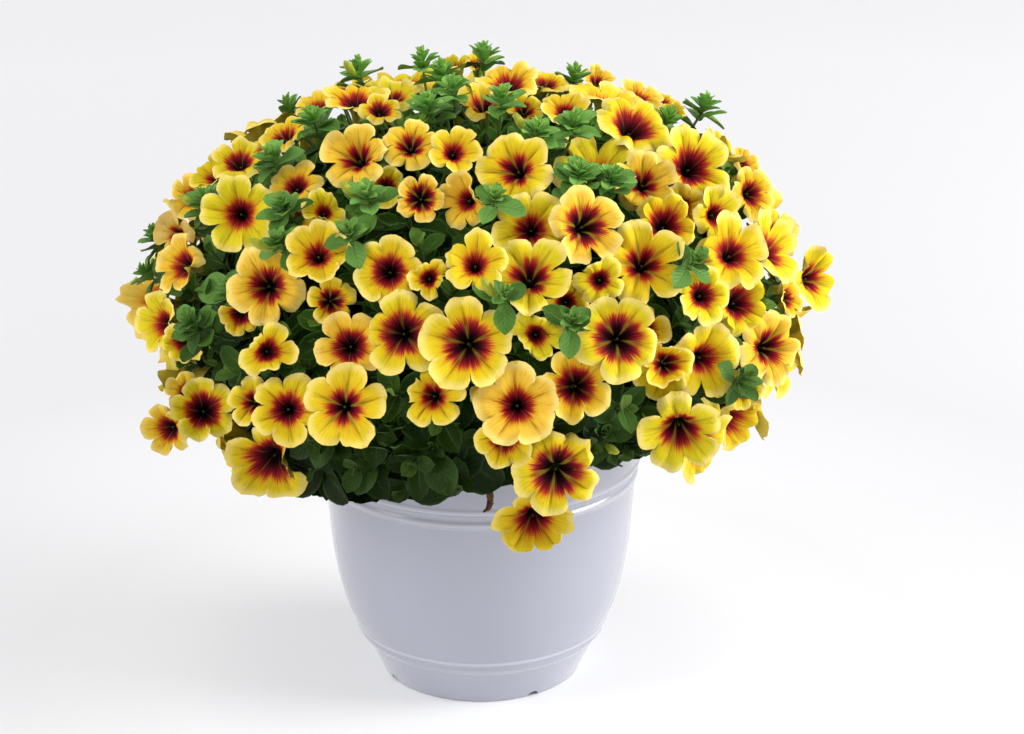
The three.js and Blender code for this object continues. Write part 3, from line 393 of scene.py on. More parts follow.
class CageReader:
    """Finds the blooms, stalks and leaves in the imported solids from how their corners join."""

    STALK_RINGS = 3
    STALK_SIDES = 3

    # How many neighbours a corner has, by the part that it belongs to.
    MOUTH_JOINS = 7
    LEAF_TIP_JOINS = 5
    LEAF_EDGE_JOINS = 4
    ROUND_JOINS = 7
    RAISED_JOINS = (5, 7)

    @staticmethod
    def only(options: list[set[int]]) -> list[int]:
        """Take the one corner out of each set, or nothing where a set holds none or several."""
        return [min(corners) for corners in options] if all(len(corners) == 1 for corners in options) else []

    def blooms(self, solid: WeldedSolid, order: int) -> list[Bloom]:
        """Find a spray's blooms, numbered from order: each throat ends in a corner with five neighbours."""
        near = solid.near
        found = []
        for apex, ring in enumerate(near):
            mouth = all(len(near[i]) == self.MOUTH_JOINS and len(near[i] & ring) == 2 for i in ring)
            if len(ring) == PETALS and mouth:
                bloom = self.bloom(solid, apex, ring, order + len(found))
                if bloom is not None:
                    found.append(bloom)
        return found

    def bloom(self, solid: WeldedSolid, apex: int, ring: set[int], order: int) -> Bloom | None:
        """Read one bloom outwards from its throat.

        Args:
            solid: A packed spray.
            apex: The throat's deepest corner.
            ring: The five corners of the throat's mouth.
            order: Number that seeds its variety.

        Returns:
            The bloom, or None where the corners don't join as a bloom's do.
        """
        near, points = solid.near, solid.points
        centre = solid.middle(ring)
        facing = unit(centre - points[apex])
        start = unit(points[min(ring)] - centre)
        side = np.cross(facing, start)

        def turn(corner: int) -> float:
            run = points[corner] - centre
            return (math.atan2(run @ side, run @ start) + TINY) % FULL_TURN

        inner = sorted(ring, key=turn)
        pairs = list(zip(inner, inner[1:] + inner[:1]))
        second = self.only([near[a] & near[b] - {apex} for a, b in pairs])
        notch = self.only([near[b] & near[shoulder] - {a} for (a, b), shoulder in zip(pairs, second)])
        notch = notch[-1:] + notch[:-1]
        known = [{apex, *inner, *corners} for corners in zip(notch, second, second[-1:] + second[:-1])]
        first = self.only([near[corner] - others for corner, others in zip(inner, known)])
        if not first:
            return None
        rim = {*notch, *first, *second}
        outer = solid.beyond(set(notch)) - rim - ring
        base = solid.beyond(outer) - rim - outer
        radius = float(np.linalg.norm(points[inner] - centre, axis=1).mean()) / THROAT_REACH
        middle = centre - facing * THROAT_HEIGHT * radius
        places = points[np.array([notch, first, second]).T] - middle
        height = places @ facing
        reach = np.linalg.norm(places - height[..., None] * facing, axis=-1)
        return Bloom(
            middle=middle,
            facing=facing,
            first=unit(points[inner[0]] - centre),
            radius=radius,
            reach=reach / radius,
            height=height / radius,
            stalk=self.stalk(solid, base, outer | rim),
            order=order,
        )

    def stalk(self, solid: WeldedSolid, base: set[int], seen: set[int]) -> np.ndarray:
        """Give the middles of a stalk's rings, from the foot of the tube, base, to the knot."""
        path = [solid.middle(base)]
        seen = seen | base
        ring = base
        for _ in range(self.STALK_RINGS):
            ring = solid.beyond(ring) - seen
            joined = all(len(solid.near[corner] & ring) == len(ring) - 1 for corner in ring)
            if len(ring) != self.STALK_SIDES or not joined:
                break
            path.append(solid.middle(ring))
            seen |= ring
        return np.array(path)

    def shoots(self, solid: WeldedSolid) -> list[Shoot]:
        """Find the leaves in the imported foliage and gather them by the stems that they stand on."""
        leaves = self.leaves(solid)
        groups: list[tuple[set[int], list[int]]] = []
        for number, (_, roots) in enumerate(leaves):
            joined = [group for group in groups if group[0] & roots]
            groups = [group for group in groups if not group[0] & roots]
            corners = roots.union(*(group[0] for group in joined))
            members = [number] + [member for group in joined for member in group[1]]
            groups.append((corners, members))
        near = solid.near
        shoots = []
        for corners, members in groups:
            beyond = solid.beyond(corners) - corners
            ends = [end for end in beyond if len(near[end]) == self.STALK_SIDES and near[end] <= corners]
            foot = solid.middle(corners)
            tip = solid.points[ends[0]] if ends else foot
            shoots.append(Shoot(tip, foot, tuple(leaves[member][0] for member in members)))
        return shoots

    def leaves(self, solid: WeldedSolid) -> list[tuple[Leaf, set[int]]]:
        """Find each leaf by its tip, whose two edge neighbours meet again at the leaf's raised middle.

        Returns:
            Each leaf with the four stem corners that it grows from.
        """
        near, points = solid.near, solid.points
        found = []
        for tip, ring in enumerate(near):
            edges = {corner for corner in ring if len(near[corner]) == self.LEAF_EDGE_JOINS}
            raised = {corner for corner in ring - edges if edges <= near[corner]}
            raised = {corner for corner in raised if len(near[corner]) in self.RAISED_JOINS}
            if len(ring) != self.LEAF_TIP_JOINS or len(edges) != 2 or len(raised) != 1:
                continue
            top = min(raised)
            lower = ring - edges - raised
            outline = near[top] - {tip}
            broad = {corner for corner in outline if len(near[corner]) > self.LEAF_EDGE_JOINS}
            upper = {corner for corner in broad if near[corner] & outline}
            if len(upper) != 2 or len(lower) != 2:
                continue
            root = solid.middle(upper | lower)
            spine = points[tip] - root
            if np.linalg.norm(points[top] - root) > np.linalg.norm(spine):
                continue
            along = unit(spine)
            rim = [corner for corner in outline if len(near[corner]) == self.LEAF_EDGE_JOINS]
            offsets = points[rim] - root
            offsets = offsets - (offsets @ along)[:, None] * along
            leaf = Leaf(
                root=root,
                along=along,
                upward=squared(points[top] - solid.middle(edges), along),
                length=float(np.linalg.norm(spine)),
                width=2.0 * float(np.linalg.norm(offsets, axis=1).max()),
                rounding=1.0 if len(near[top]) == self.ROUND_JOINS else 0.0,
            )
            found.append((leaf, upper | lower))
        return found


@dataclass(frozen=True)
class TrumpetForm:
    """Five joined petals as one closed surface of two parameters.

    The first parameter, s, runs round each petal from one cleft to the next. The second, q, runs from the
    foot of the tube, 0, past the throat's mouth to the rim, 1. Past the cleft's root each petal has its own
    edges, which lie over and under its neighbours' like the sails of a windmill.
    """

    columns: int = 13
    rows: tuple[float, ...] = (0.0, 0.06, 0.14, 0.21, 0.28, 0.34, 0.42, 0.51, 0.6, 0.7, 0.8, 0.91, 1.0)
    mouth: float = 0.34
    cleft_row: int = 9
    shoulder: float = 0.29
    longest: float = 0.029
    length_share: float = 1.3
    tube_share: float = 0.93
    notch_share: tuple[float, float] = (0.76, 0.97)
    spread: float = 1.07
    sunk: float = 0.07
    tilt: float = 0.13
    tucked: tuple[int, ...] = (39, 83)
    tuck: float = 0.22
    folded_share: float = 0.2
    cupped_share: float = 0.45
    wall: tuple[float, float, float] = (0.0009, 0.0005, 0.0003)
    wall_curve: float = 1.7

    @property
    def places(self) -> int:
        """Grid places on one side of the surface."""
        return PETALS * self.columns * len(self.rows)

    def limb(self, q: np.ndarray) -> np.ndarray:
        """Give how far each q lies from the mouth, 0, to the rim, 1."""
        return np.clip((q - self.mouth) / (1.0 - self.mouth), 0.0, 1.0)

    def tube(self, q: np.ndarray) -> tuple[np.ndarray, np.ndarray]:
        """Give the tube's reach and height, in radii, at each q up to the mouth."""
        marks = self.rows[: len(TUBE_REACH)]
        return np.interp(q, marks, TUBE_REACH), np.interp(q, marks, TUBE_HEIGHT)

    def shares(self) -> np.ndarray:
        """Spread the columns over a petal, closer together near its clefts."""
        even = np.linspace(0.0, 1.0, self.columns)
        return 0.6 * even + 0.4 * (0.5 - 0.5 * np.cos(math.pi * even))

    def patch(self) -> Patch:
        """Join the faces' side and the backs' side at the rim, along the clefts and at the tube's foot."""
        rows = len(self.rows)
        numbers = np.arange(self.places).reshape(PETALS, self.columns, rows)
        face = numbers.copy()
        face[:, -1, : self.cleft_row + 1] = np.roll(numbers, -1, axis=0)[:, 0, : self.cleft_row + 1]
        face[:, :, 0] = numbers[0, 0, 0]
        back = face + self.places
        back[:, :, -1] = face[:, :, -1]
        back[:, [0, -1], self.cleft_row :] = face[:, [0, -1], self.cleft_row :]
        petal = self.columns * rows * np.arange(PETALS)[:, None, None]
        quads = (petal + grid_quads(self.columns, rows, False)[None]).reshape(-1, 4)
        both = np.concatenate([quads[:, ::-1], quads + self.places])
        return Patch.weld(np.concatenate([face.reshape(-1), back.reshape(-1)]), both)

    def parameters(self) -> np.ndarray:
        """Give each grid place its petal number plus s, and its q."""
        side = grid_shares((np.arange(PETALS)[:, None] + self.shares()).reshape(-1), np.array(self.rows))
        return np.concatenate([side, side])

    def skins(self) -> np.ndarray:
        """Give the grid places of the faces' side and the backs' side their material slots."""
        return np.repeat([Skin.PETAL_FACE, Skin.PETAL_BACK], self.places)

    def rim(self, blooms: list[Bloom]) -> tuple[np.ndarray, np.ndarray]:
        """Work out the rim's reach and height round each petal, as blooms x petals x columns, in radii.

        The reach is a straight line from notch to notch plus a blunt hump, whose size is set so that the rim
        passes through both shoulders. The height eases from each known point to the next.
        """
        rng = np.random.default_rng(17)
        reach = np.array([bloom.reach for bloom in blooms])
        height = np.array([bloom.height for bloom in blooms])
        s = self.shares()[None, None, :]
        blunt = rng.uniform(2.1, 3.6, (len(blooms), PETALS, 1))

        def hump(share: np.ndarray | float) -> np.ndarray:
            return np.maximum(1.0 - np.abs(2.0 * share - 1.0) ** blunt, 0.0) ** 0.6

        low, high = self.shoulder, 1.0 - self.shoulder
        notch = reach[:, :, 0, None] * rng.uniform(*self.notch_share, blunt.shape)
        slope = np.roll(notch, -1, axis=1) - notch
        left = (reach[:, :, 1, None] - notch - slope * low) / hump(low)
        right = (reach[:, :, 2, None] - notch - slope * high) / hump(low)
        over = left + (right - left) * smooth(s, low, high)
        first, second, third = (height[:, :, index, None] for index in range(3))
        level = first + (second - first) * smooth(s, 0.0, low)
        level = level + (third - second) * smooth(s, low, high)
        level = level + (np.roll(first, -1, axis=1) - third) * smooth(s, high, 1.0)
        return notch + slope * s + over * hump(s), level

    def walls(self) -> np.ndarray:
        """Give, for each row, the step from the faces' side to the backs' side, outwards and upwards."""
        q = np.array(self.rows)
        limb, outside = self.limb(q), q > self.mouth
        tube_reach, tube_height = self.tube(q)
        out = np.where(outside, THROAT_REACH + (1.0 - THROAT_REACH) * limb, tube_reach)
        rise = np.where(outside, THROAT_HEIGHT * (1.0 - limb) ** self.wall_curve, tube_height)
        outward = unit(np.stack([np.gradient(rise), -np.gradient(out)], -1))
        outward[0] = (0.0, -1.0)
        return outward * np.interp(q, (0.0, self.mouth, 1.0), self.wall)[:, None]

    def sheets(self, blooms: list[Bloom]) -> np.ndarray:
        """Work out every point of every bloom, as blooms x grid places x 3, faces' side first.

        Inside the mouth the surface is the tube's profile turned about the axis. Outside it, the reach grows
        evenly with q and the height eases out to the rim. Each half of a petal is puffed between its midvein
        and its cleft, and its free edge waves, curls and tilts.
        """
        rng = np.random.default_rng(11)
        count = len(blooms)
        radius = np.array([bloom.radius for bloom in blooms])[:, None, None, None]
        rim, level = (values[..., None] for values in self.rim(blooms))
        s = self.shares()[None, None, :, None]
        q = np.array(self.rows)[None, None, None, :]
        petal = np.arange(PETALS)[None, :, None, None]
        free = smooth(q, self.rows[self.cleft_row], 1.0)
        limb, inside = self.limb(q), q <= self.mouth

        def vary(low: float, high: float, each: int = PETALS) -> np.ndarray:
            return rng.uniform(low, high, (count, each, 1, 1))

        def some(share: float, each: int = PETALS) -> np.ndarray:
            return rng.random((count, each, 1, 1)) < share

        def ripple(sizes: tuple[float, float], waves: tuple[float, float]) -> np.ndarray:
            return vary(*sizes) * np.sin(FULL_TURN * (vary(*waves) * s + vary(0.0, 1.0)))

        def lobes(size: float, number: float) -> np.ndarray:
            even = number * FULL_TURN * (petal + s) / PETALS
            return vary(-size, size, 1) * np.cos(even + vary(0.0, 6.0, 1))

        def ridge(width: float) -> np.ndarray:
            return np.exp(-(((s - 0.5) / width) ** 2))

        # The rim's outline, with a blunt tip on each petal and fine waves.
        outline = rim * self.spread + vary(-0.04, 0.06) * ridge(0.09)
        wave = ripple((0.01, 0.04), (1.4, 3.0))
        crimp = np.abs(np.sin(math.pi * (vary(2.2, 4.2) * s + vary(0.0, 1.0))))
        outline = outline + (wave - vary(0.0, 0.05) * (1.0 - crimp) ** 2) * free

        # The tube as deep as the stalk allows, then the limb that opens out of the throat.
        tube_reach, tube_height = self.tube(q)
        depth = self.tube_share * np.minimum(self.length_share, self.longest / radius) + THROAT_HEIGHT
        stretch = depth / (THROAT_HEIGHT - TUBE_HEIGHT[0])
        deep = THROAT_HEIGHT + (tube_height - THROAT_HEIGHT) * stretch
        reach = np.where(inside, tube_reach, THROAT_REACH + (outline - THROAT_REACH) * limb)
        rise = (level - THROAT_HEIGHT) * (1.0 - (1.0 - limb) ** vary(1.05, 2.1, 1))
        height = np.where(inside, deep, THROAT_HEIGHT + rise)
        height = height - self.sunk * smooth(q, 0.06, self.mouth) * (1.0 - smooth(limb, 0.0, 0.55))

        # Some petals fold back, and every edge curls, ruffles and tilts like a windmill's sail.
        tilt = np.where(some(0.5, 1), self.tilt, -self.tilt) * (s - 0.5)
        folded = np.where(some(self.folded_share), vary(-0.1, 0.36), 0.0)
        tucked = np.isin([bloom.order for bloom in blooms], self.tucked)[:, None, None, None]
        folded = np.where(tucked, self.tuck, folded)
        curl = (vary(-0.13, 0.18) + folded) * free**2 + vary(-0.05, 0.09) * smooth(q, 0.84, 1.0) ** 2
        reach = reach * (1.0 - 0.35 * np.abs(folded) * free**2)
        ruffle = ripple((0.02, 0.075), (1.0, 2.2))
        ruffle = ruffle + ripple((0.0, 0.035), (2.6, 4.0))

        # The whole limb is bent like a saddle, and some blooms are cupped.
        saddle = lobes(0.07, 2.0)
        saddle = (saddle + lobes(0.15, 1.0)) * limb**1.4
        cup = np.where(some(self.cupped_share, 1), vary(0.04, 0.18, 1), 0.0)
        reach = reach * (1.0 - 0.5 * cup * limb**2)
        puff = np.abs(np.sin(FULL_TURN * s)) ** 0.8 * np.sin(math.pi * np.minimum(0.86 * limb, 1.0))
        crease = ridge(0.055) * np.sin(math.pi * np.minimum(0.9 * limb, 1.0))
        height = height + vary(0.04, 0.09) * puff - vary(0.02, 0.06) * crease + saddle + cup * limb**1.6
        height = height + (tilt + ruffle) * free - curl
        overlap = vary(-0.07, 0.085) * free * (2.0 * s - 1.0)
        swirl = vary(-0.06, 0.06) * np.sin(math.pi * s) * limb
        turn = FULL_TURN * (petal + s + overlap + swirl) / PETALS

        facing = np.array([bloom.facing for bloom in blooms])
        first = squared(np.array([bloom.first for bloom in blooms]), facing)
        second = np.cross(facing, first)
        middle = np.array([bloom.middle for bloom in blooms])

        def place(out: np.ndarray, up: np.ndarray) -> np.ndarray:
            shape = (count, self.places, 1)
            parts = (out * np.cos(turn), out * np.sin(turn), np.broadcast_to(up, out.shape))
            flat = [part.reshape(shape) for part in parts]
            points = flat[0] * first[:, None] + flat[1] * second[:, None] + flat[2] * facing[:, None]
            return points + middle[:, None]

        reach, height, step = reach * radius, height * radius, self.walls()
        return np.concatenate([place(reach, height), place(reach + step[:, 0], height + step[:, 1])], axis=1)


@dataclass(frozen=True)
class LeafSet:
    """Many leaves at once, as arrays with one row a leaf."""

    root: np.ndarray
    along: np.ndarray
    upward: np.ndarray
    length: np.ndarray
    width: np.ndarray
    droop: np.ndarray
    rounding: np.ndarray
    tone: np.ndarray

    @classmethod
    def gather(cls, leaves: tuple[Leaf, ...], tone: np.ndarray) -> "LeafSet":
        """Stack packed leaves."""
        names = [part.name for part in fields(Leaf)]
        parts = {name: np.array([getattr(leaf, name) for leaf in leaves]) for name in names}
        return cls(droop=np.full(len(leaves), LEAF_DROOP), tone=tone, **parts)

    @classmethod
    def grow(
        cls,
        root: np.ndarray,
        axis: np.ndarray,
        turn: np.ndarray,
        spread: np.ndarray,
        length: np.ndarray,
        slimness: np.ndarray | float,
        rounding: np.ndarray | float,
        tone: np.ndarray,
    ) -> "LeafSet":
        """Set leaves round stems: each leans away from its stem by spread, in the direction of turn.

        Args:
            root: Where each leaf starts.
            axis: The way that its stem grows.
            turn: Angle round the stem.
            spread: Angle away from the stem.
            length: Leaf length.
            slimness: Width over length.
            rounding: 0 for a young pointed leaf to 1 for an old round one, one number or one a leaf.
            tone: Four numbers that vary its finish.
        """
        first = across(axis)
        out = swing(turn, first, np.cross(axis, first))
        along = unit(swing(spread, axis, out))
        even = np.zeros(len(root))
        upward = squared(axis + TINY * UP, along)
        return cls(root, along, upward, length, length * slimness, even + LEAF_DROOP, even + rounding, tone)

    @classmethod
    def join(cls, sets: list["LeafSet"]) -> "LeafSet":
        """Put several sets together."""
        return cls(*(np.concatenate([getattr(one, part.name) for one in sets]) for part in fields(cls)))

    def take(self, keep: np.ndarray) -> "LeafSet":
        """Keep the leaves that a mask or a list of numbers picks."""
        return LeafSet(*(getattr(self, part.name)[keep] for part in fields(self)))

    def probes(self) -> np.ndarray:
        """Give nine places on each leaf, along its middle and near its edges."""
        right = np.cross(self.along, self.upward)
        reach = np.array([0.4, 0.7, 1.0, 0.4, 0.7, 0.95, 0.4, 0.7, 0.95])
        aside = np.array([0.0, 0.0, 0.0, 0.42, 0.36, 0.15, -0.42, -0.36, -0.15])
        points = self.root[:, None] + self.along[:, None] * (self.length[:, None] * reach)[..., None]
        points = points + right[:, None] * (self.width[:, None] * aside)[..., None]
        drop = (self.droop * self.length)[:, None] * reach**2
        return points - self.upward[:, None] * drop[..., None]


@dataclass(frozen=True)
class LeafForm:
    """A closed leaf blade folded along its midrib.

    The half width at a share t of the length is t^a (1-t)^b, scaled to peak at one, where a and b fall as the
    leaf rounds. The blade is raised towards its edges, droops with t squared and waves along its edge.
    """

    columns: int = 5
    rows: tuple[float, ...] = (0.0, 0.1, 0.26, 0.45, 0.65, 0.84, 1.0)
    thickness: float = 0.0004
    root_power: tuple[float, float] = (0.95, 0.4)
    tip_power: tuple[float, float] = (0.8, 0.38)
    fold: float = 0.32
    fold_power: float = 1.5
    wave: float = 0.03
    waves: float = 7.0
    stub: float = 0.07

    def patch(self) -> Patch:
        """Join the two sides along the edge, at the root and at the tip."""
        rows = len(self.rows)
        places = self.columns * rows
        top = np.arange(places).reshape(self.columns, rows)
        top[:, -1] = top[0, -1]
        under = top + places
        under[[0, -1]] = top[[0, -1]]
        under[:, [0, -1]] = top[:, [0, -1]]
        quads = grid_quads(self.columns, rows, False)
        both = np.concatenate([quads, quads[:, ::-1] + places])
        return Patch.weld(np.concatenate([top.reshape(-1), under.reshape(-1)]), both)

    def blades(self, leaves: LeafSet) -> np.ndarray:
        """Work out every point of every leaf, as leaves x grid places x 3, upper side first."""
        t = np.array(self.rows)[None, None, :]
        aside = np.linspace(-1.0, 1.0, self.columns)[None, :, None]
        rounding = leaves.rounding[:, None, None]
        rise, fall = (start - loss * rounding for start, loss in (self.root_power, self.tip_power))
        peak = rise / (rise + fall)
        shape = t**rise * (1.0 - t) ** fall / (peak**rise * (1.0 - peak) ** fall)
        half = 0.5 * leaves.width[:, None, None] * np.maximum(shape, self.stub * (1.0 - t))
        length = leaves.length[:, None, None]
        phase = FULL_TURN * leaves.tone[:, 3][:, None, None]
        lift = self.fold * np.abs(aside) ** self.fold_power * half
        lift = lift - leaves.droop[:, None, None] * length * t**2
        lift = lift + self.wave * length * aside**2 * np.sin(self.waves * t + phase + aside)
        right = np.cross(leaves.along, leaves.upward)
        points = leaves.root[:, None, None] + leaves.along[:, None, None] * (length * t)[..., None]
        points = points + right[:, None, None] * (aside * half)[..., None]
        points = points + leaves.upward[:, None, None] * lift[..., None]
        top = points.reshape(len(leaves.root), -1, 3)
        return np.concatenate([top, top - self.thickness * leaves.upward[:, None]], axis=1)

    def add(self, draft: Draft, leaves: LeafSet, skin: Skin = Skin.LEAF) -> None:
        """Put leaves into a draft."""
        side = grid_shares(np.linspace(0.0, 1.0, self.columns), np.array(self.rows))
        draft.add(self.patch(), self.blades(leaves), np.concatenate([side, side]), leaves.tone, skin)


class BloomRoom:
    """Knows the space that the blooms fill, so that no leaf cuts through a petal or hides a face."""

    REACH = (*TUBE_REACH, 0.5, 0.75, 1.0, 1.1)
    HEIGHT = (-1.2, *TUBE_HEIGHT[1:], -0.14, -0.05, -0.02, -0.02)
    WIDEST = 1.06
    MARGIN = 0.07
    FRONT = 0.55
    BATCH = 400

    def __init__(self, blooms: list[Bloom]) -> None:
        """Note where each bloom is."""
        self.middle = np.array([bloom.middle for bloom in blooms])
        self.facing = np.array([bloom.facing for bloom in blooms])
        self.radius = np.array([bloom.radius for bloom in blooms])

    def free(self, probes: np.ndarray) -> np.ndarray:
        """Tell which groups of points, given as groups x points x 3, stay behind or beside every bloom."""
        clear = []
        for part in np.array_split(probes, max(1, len(probes) // self.BATCH)):
            offset = part[:, :, None] - self.middle
            height = (offset * self.facing).sum(-1)
            reach = np.sqrt(np.maximum((offset**2).sum(-1) - height**2, 0.0)) / self.radius
            height = height / self.radius
            surface = np.interp(reach, self.REACH, self.HEIGHT)
            hit = (reach < self.WIDEST) & (height > surface - self.MARGIN) & (height < self.FRONT)
            clear.append(~hit.any(axis=(1, 2)))
        return np.concatenate(clear)

    def nearest(self, points: np.ndarray) -> np.ndarray:
        """Give the distance from each point to the nearest bloom's middle."""
        return np.linalg.norm(points[:, None] - self.middle, axis=-1).min(axis=1)


@dataclass(frozen=True)
class Dome:
    """The rounded surface that the blooms face out of, and the leafy core inside it."""

    middle: Place = (-0.003, -0.003, 0.25)
    reach: Place = (0.202, 0.196, 0.138)
    narrowing: float = 0.2
    lowest: float = 0.178
    upper_share: float = 0.62
    lower_weight: float = 0.4
    core_profile: Profile = (
        (0.0, 0.16),
        (0.07, 0.16),
        (0.09, 0.18),
        (0.135, 0.193),
        (0.15, 0.222),
        (0.147, 0.26),
        (0.122, 0.299),
        (0.07, 0.324),
        (0.0, 0.332),
    )

    def spiral(self, count: int) -> np.ndarray:
        """Spread points evenly over the surface by the golden angle, from its top to its lower edge."""
        step = np.arange(count)
        share = 1.0 - (step + 0.5) / count
        upper = share > 1.0 - self.upper_share
        rise = np.where(upper, (share - 1.0 + self.upper_share) / self.upper_share, 0.0)
        fall = np.where(upper, 0.0, 1.0 - share / (1.0 - self.upper_share))
        spread = np.sqrt(1.0 - rise**2) * (1.0 - self.narrowing * fall**2)
        level = np.where(upper, self.reach[2] * rise, -fall * (self.middle[2] - self.lowest))
        turn = step * GOLDEN_ANGLE
        points = [self.reach[0] * spread * np.cos(turn), self.reach[1] * spread * np.sin(turn), level]
        return np.stack(points, -1) + np.array(self.middle)

    def normals(self, points: np.ndarray) -> np.ndarray:
        """Give the outward direction at points of the surface."""
        offset = points - np.array(self.middle)
        scale = np.repeat(np.array([self.reach]) ** -2.0, len(points), axis=0)
        scale[:, 2] *= np.where(offset[:, 2] > 0.0, 1.0, self.lower_weight)
        return unit(offset * scale)

    def core_points(self, count: int) -> tuple[np.ndarray, np.ndarray]:
        """Spread points over the core by the area of its turned profile, with their outward directions."""
        profile = np.array(self.core_profile)
        run = np.diff(profile, axis=0)
        area = np.hypot(run[:, 0], run[:, 1]) * (profile[1:, 0] + profile[:-1, 0])
        marks = np.concatenate([[0.0], np.cumsum(area)]) / area.sum()
        share = (np.arange(count) + 0.5) / count
        band = np.searchsorted(marks, share, side="right") - 1
        radius, height = np.interp(share, marks, profile[:, 0]), np.interp(share, marks, profile[:, 1])
        turn = np.arange(count) * GOLDEN_ANGLE
        slope = unit(np.stack([run[:, 1], -run[:, 0]], -1))[band]
        return turned(turn, radius, height), turned(turn, slope[:, 0], slope[:, 1])


def lathe(
    name: str,
    turns: np.ndarray,
    radius: np.ndarray,
    height: np.ndarray,
    hue: float,
    material: bpy.types.Material,
) -> bpy.types.Object:
    """Turn a profile that starts and ends on the axis into a closed piece.

    Args:
        name: Name of the piece.
        turns: Angle of each column.
        radius: Distance from the axis, as columns x rows, or one row for all columns.
        height: Height, likewise.
        hue: Number that varies its finish.
        material: Its material.
    """
    points = turned(turns[:, None], radius, height)
    draft = Draft()
    draft.add_round(points, turns / FULL_TURN, np.linspace(0.0, 1.0, points.shape[1]), hue, 0)
    return draft.build(name, [material])


def eased(profile: np.ndarray) -> np.ndarray:
    """Round a profile's corners: small arcs at sharp corners, long ones where it barely turns.

    Each corner gives way to a curve that starts and ends on its two edges, with the corner as its control
    point. The curve of a gentle corner takes up a share of its shorter edge. The profile's ends are kept.
    """
    here, before, after = profile[1:-1], profile[:-2] - profile[1:-1], profile[2:] - profile[1:-1]
    lengths = np.minimum(np.linalg.norm(before, axis=1), np.linalg.norm(after, axis=1))
    cosine = -(unit(before) * unit(after)).sum(axis=1)
    long_cut = GENTLE_SHARE * lengths
    cut = np.where(cosine > GENTLE_COSINE, long_cut, np.minimum(SHARP_ARC, long_cut))[:, None]
    start, end = here + unit(before) * cut, here + unit(after) * cut
    t = np.linspace(0.0, 1.0, 5)[None, :, None]
    curves = (1 - t) ** 2 * start[:, None] + 2 * t * (1 - t) * here[:, None] + t**2 * end[:, None]
    return np.concatenate([profile[:1], curves.reshape(-1, 2), profile[-1:]])


def curve_through(
    points: np.ndarray, count: int, ends: tuple[np.ndarray, np.ndarray] | None = None
) -> np.ndarray:
    """Run a smooth curve through a few points, by cubic pieces whose slopes come from the neighbours.

    Args:
        points: Three points or more, no two neighbours equal.
        count: How many points along the curve to give back.
        ends: Directions in which the curve starts and arrives.
    """
    spans = np.linalg.norm(np.diff(points, axis=0), axis=1)
    marks = np.concatenate([[0.0], np.cumsum(spans)])
    slopes = np.gradient(points, marks, axis=0)
    if ends is not None:
        slopes[0], slopes[-1] = ends
    at = np.linspace(0.0, marks[-1], count)
    piece = np.clip(np.searchsorted(marks, at, side="right") - 1, 0, len(spans) - 1)
    span = spans[piece][:, None]
    t = (at - marks[piece])[:, None] / span
    start, end = points[piece], points[piece + 1]
    leave, arrive = slopes[piece] * span, slopes[piece + 1] * span
    near_start = (2 * t**3 - 3 * t**2 + 1) * start + (t**3 - 2 * t**2 + t) * leave
    return near_start + (3 * t**2 - 2 * t**3) * end + (t**3 - t**2) * arrive


@dataclass(frozen=True)
class Value:
    """A number, vector or colour inside a material. Arithmetic on it adds the nodes for it."""

    recipe: "Recipe"
    socket: bpy.types.NodeSocket

    def __add__(self, other: "Value | float") -> "Value":
        """Add a number."""
        return self.recipe.math("ADD", self, other)

    def __sub__(self, other: "Value | float") -> "Value":
        """Take a number away."""
        return self.recipe.math("SUBTRACT", self, other)

    def __mul__(self, other: "Value | float") -> "Value":
        """Multiply by a number."""
        return self.recipe.math("MULTIPLY", self, other)

    def __abs__(self) -> "Value":
        """Drop the sign."""
        return self.recipe.math("ABSOLUTE", self)

    def off(self, level: float) -> "Value":
        """Give the distance from a level, either way."""
        return abs(self - level)

    def ease(self, low: float, high: float) -> "Value":
        """Ease from 0 where the value is low to 1 where it is high."""
        made = self.recipe.node("ShaderNodeMapRange", interpolation_type="SMOOTHSTEP")
        self.recipe.fill(made, {"Value": self, "From Min": low, "From Max": high})
        return Value(self.recipe, made.outputs["Result"])


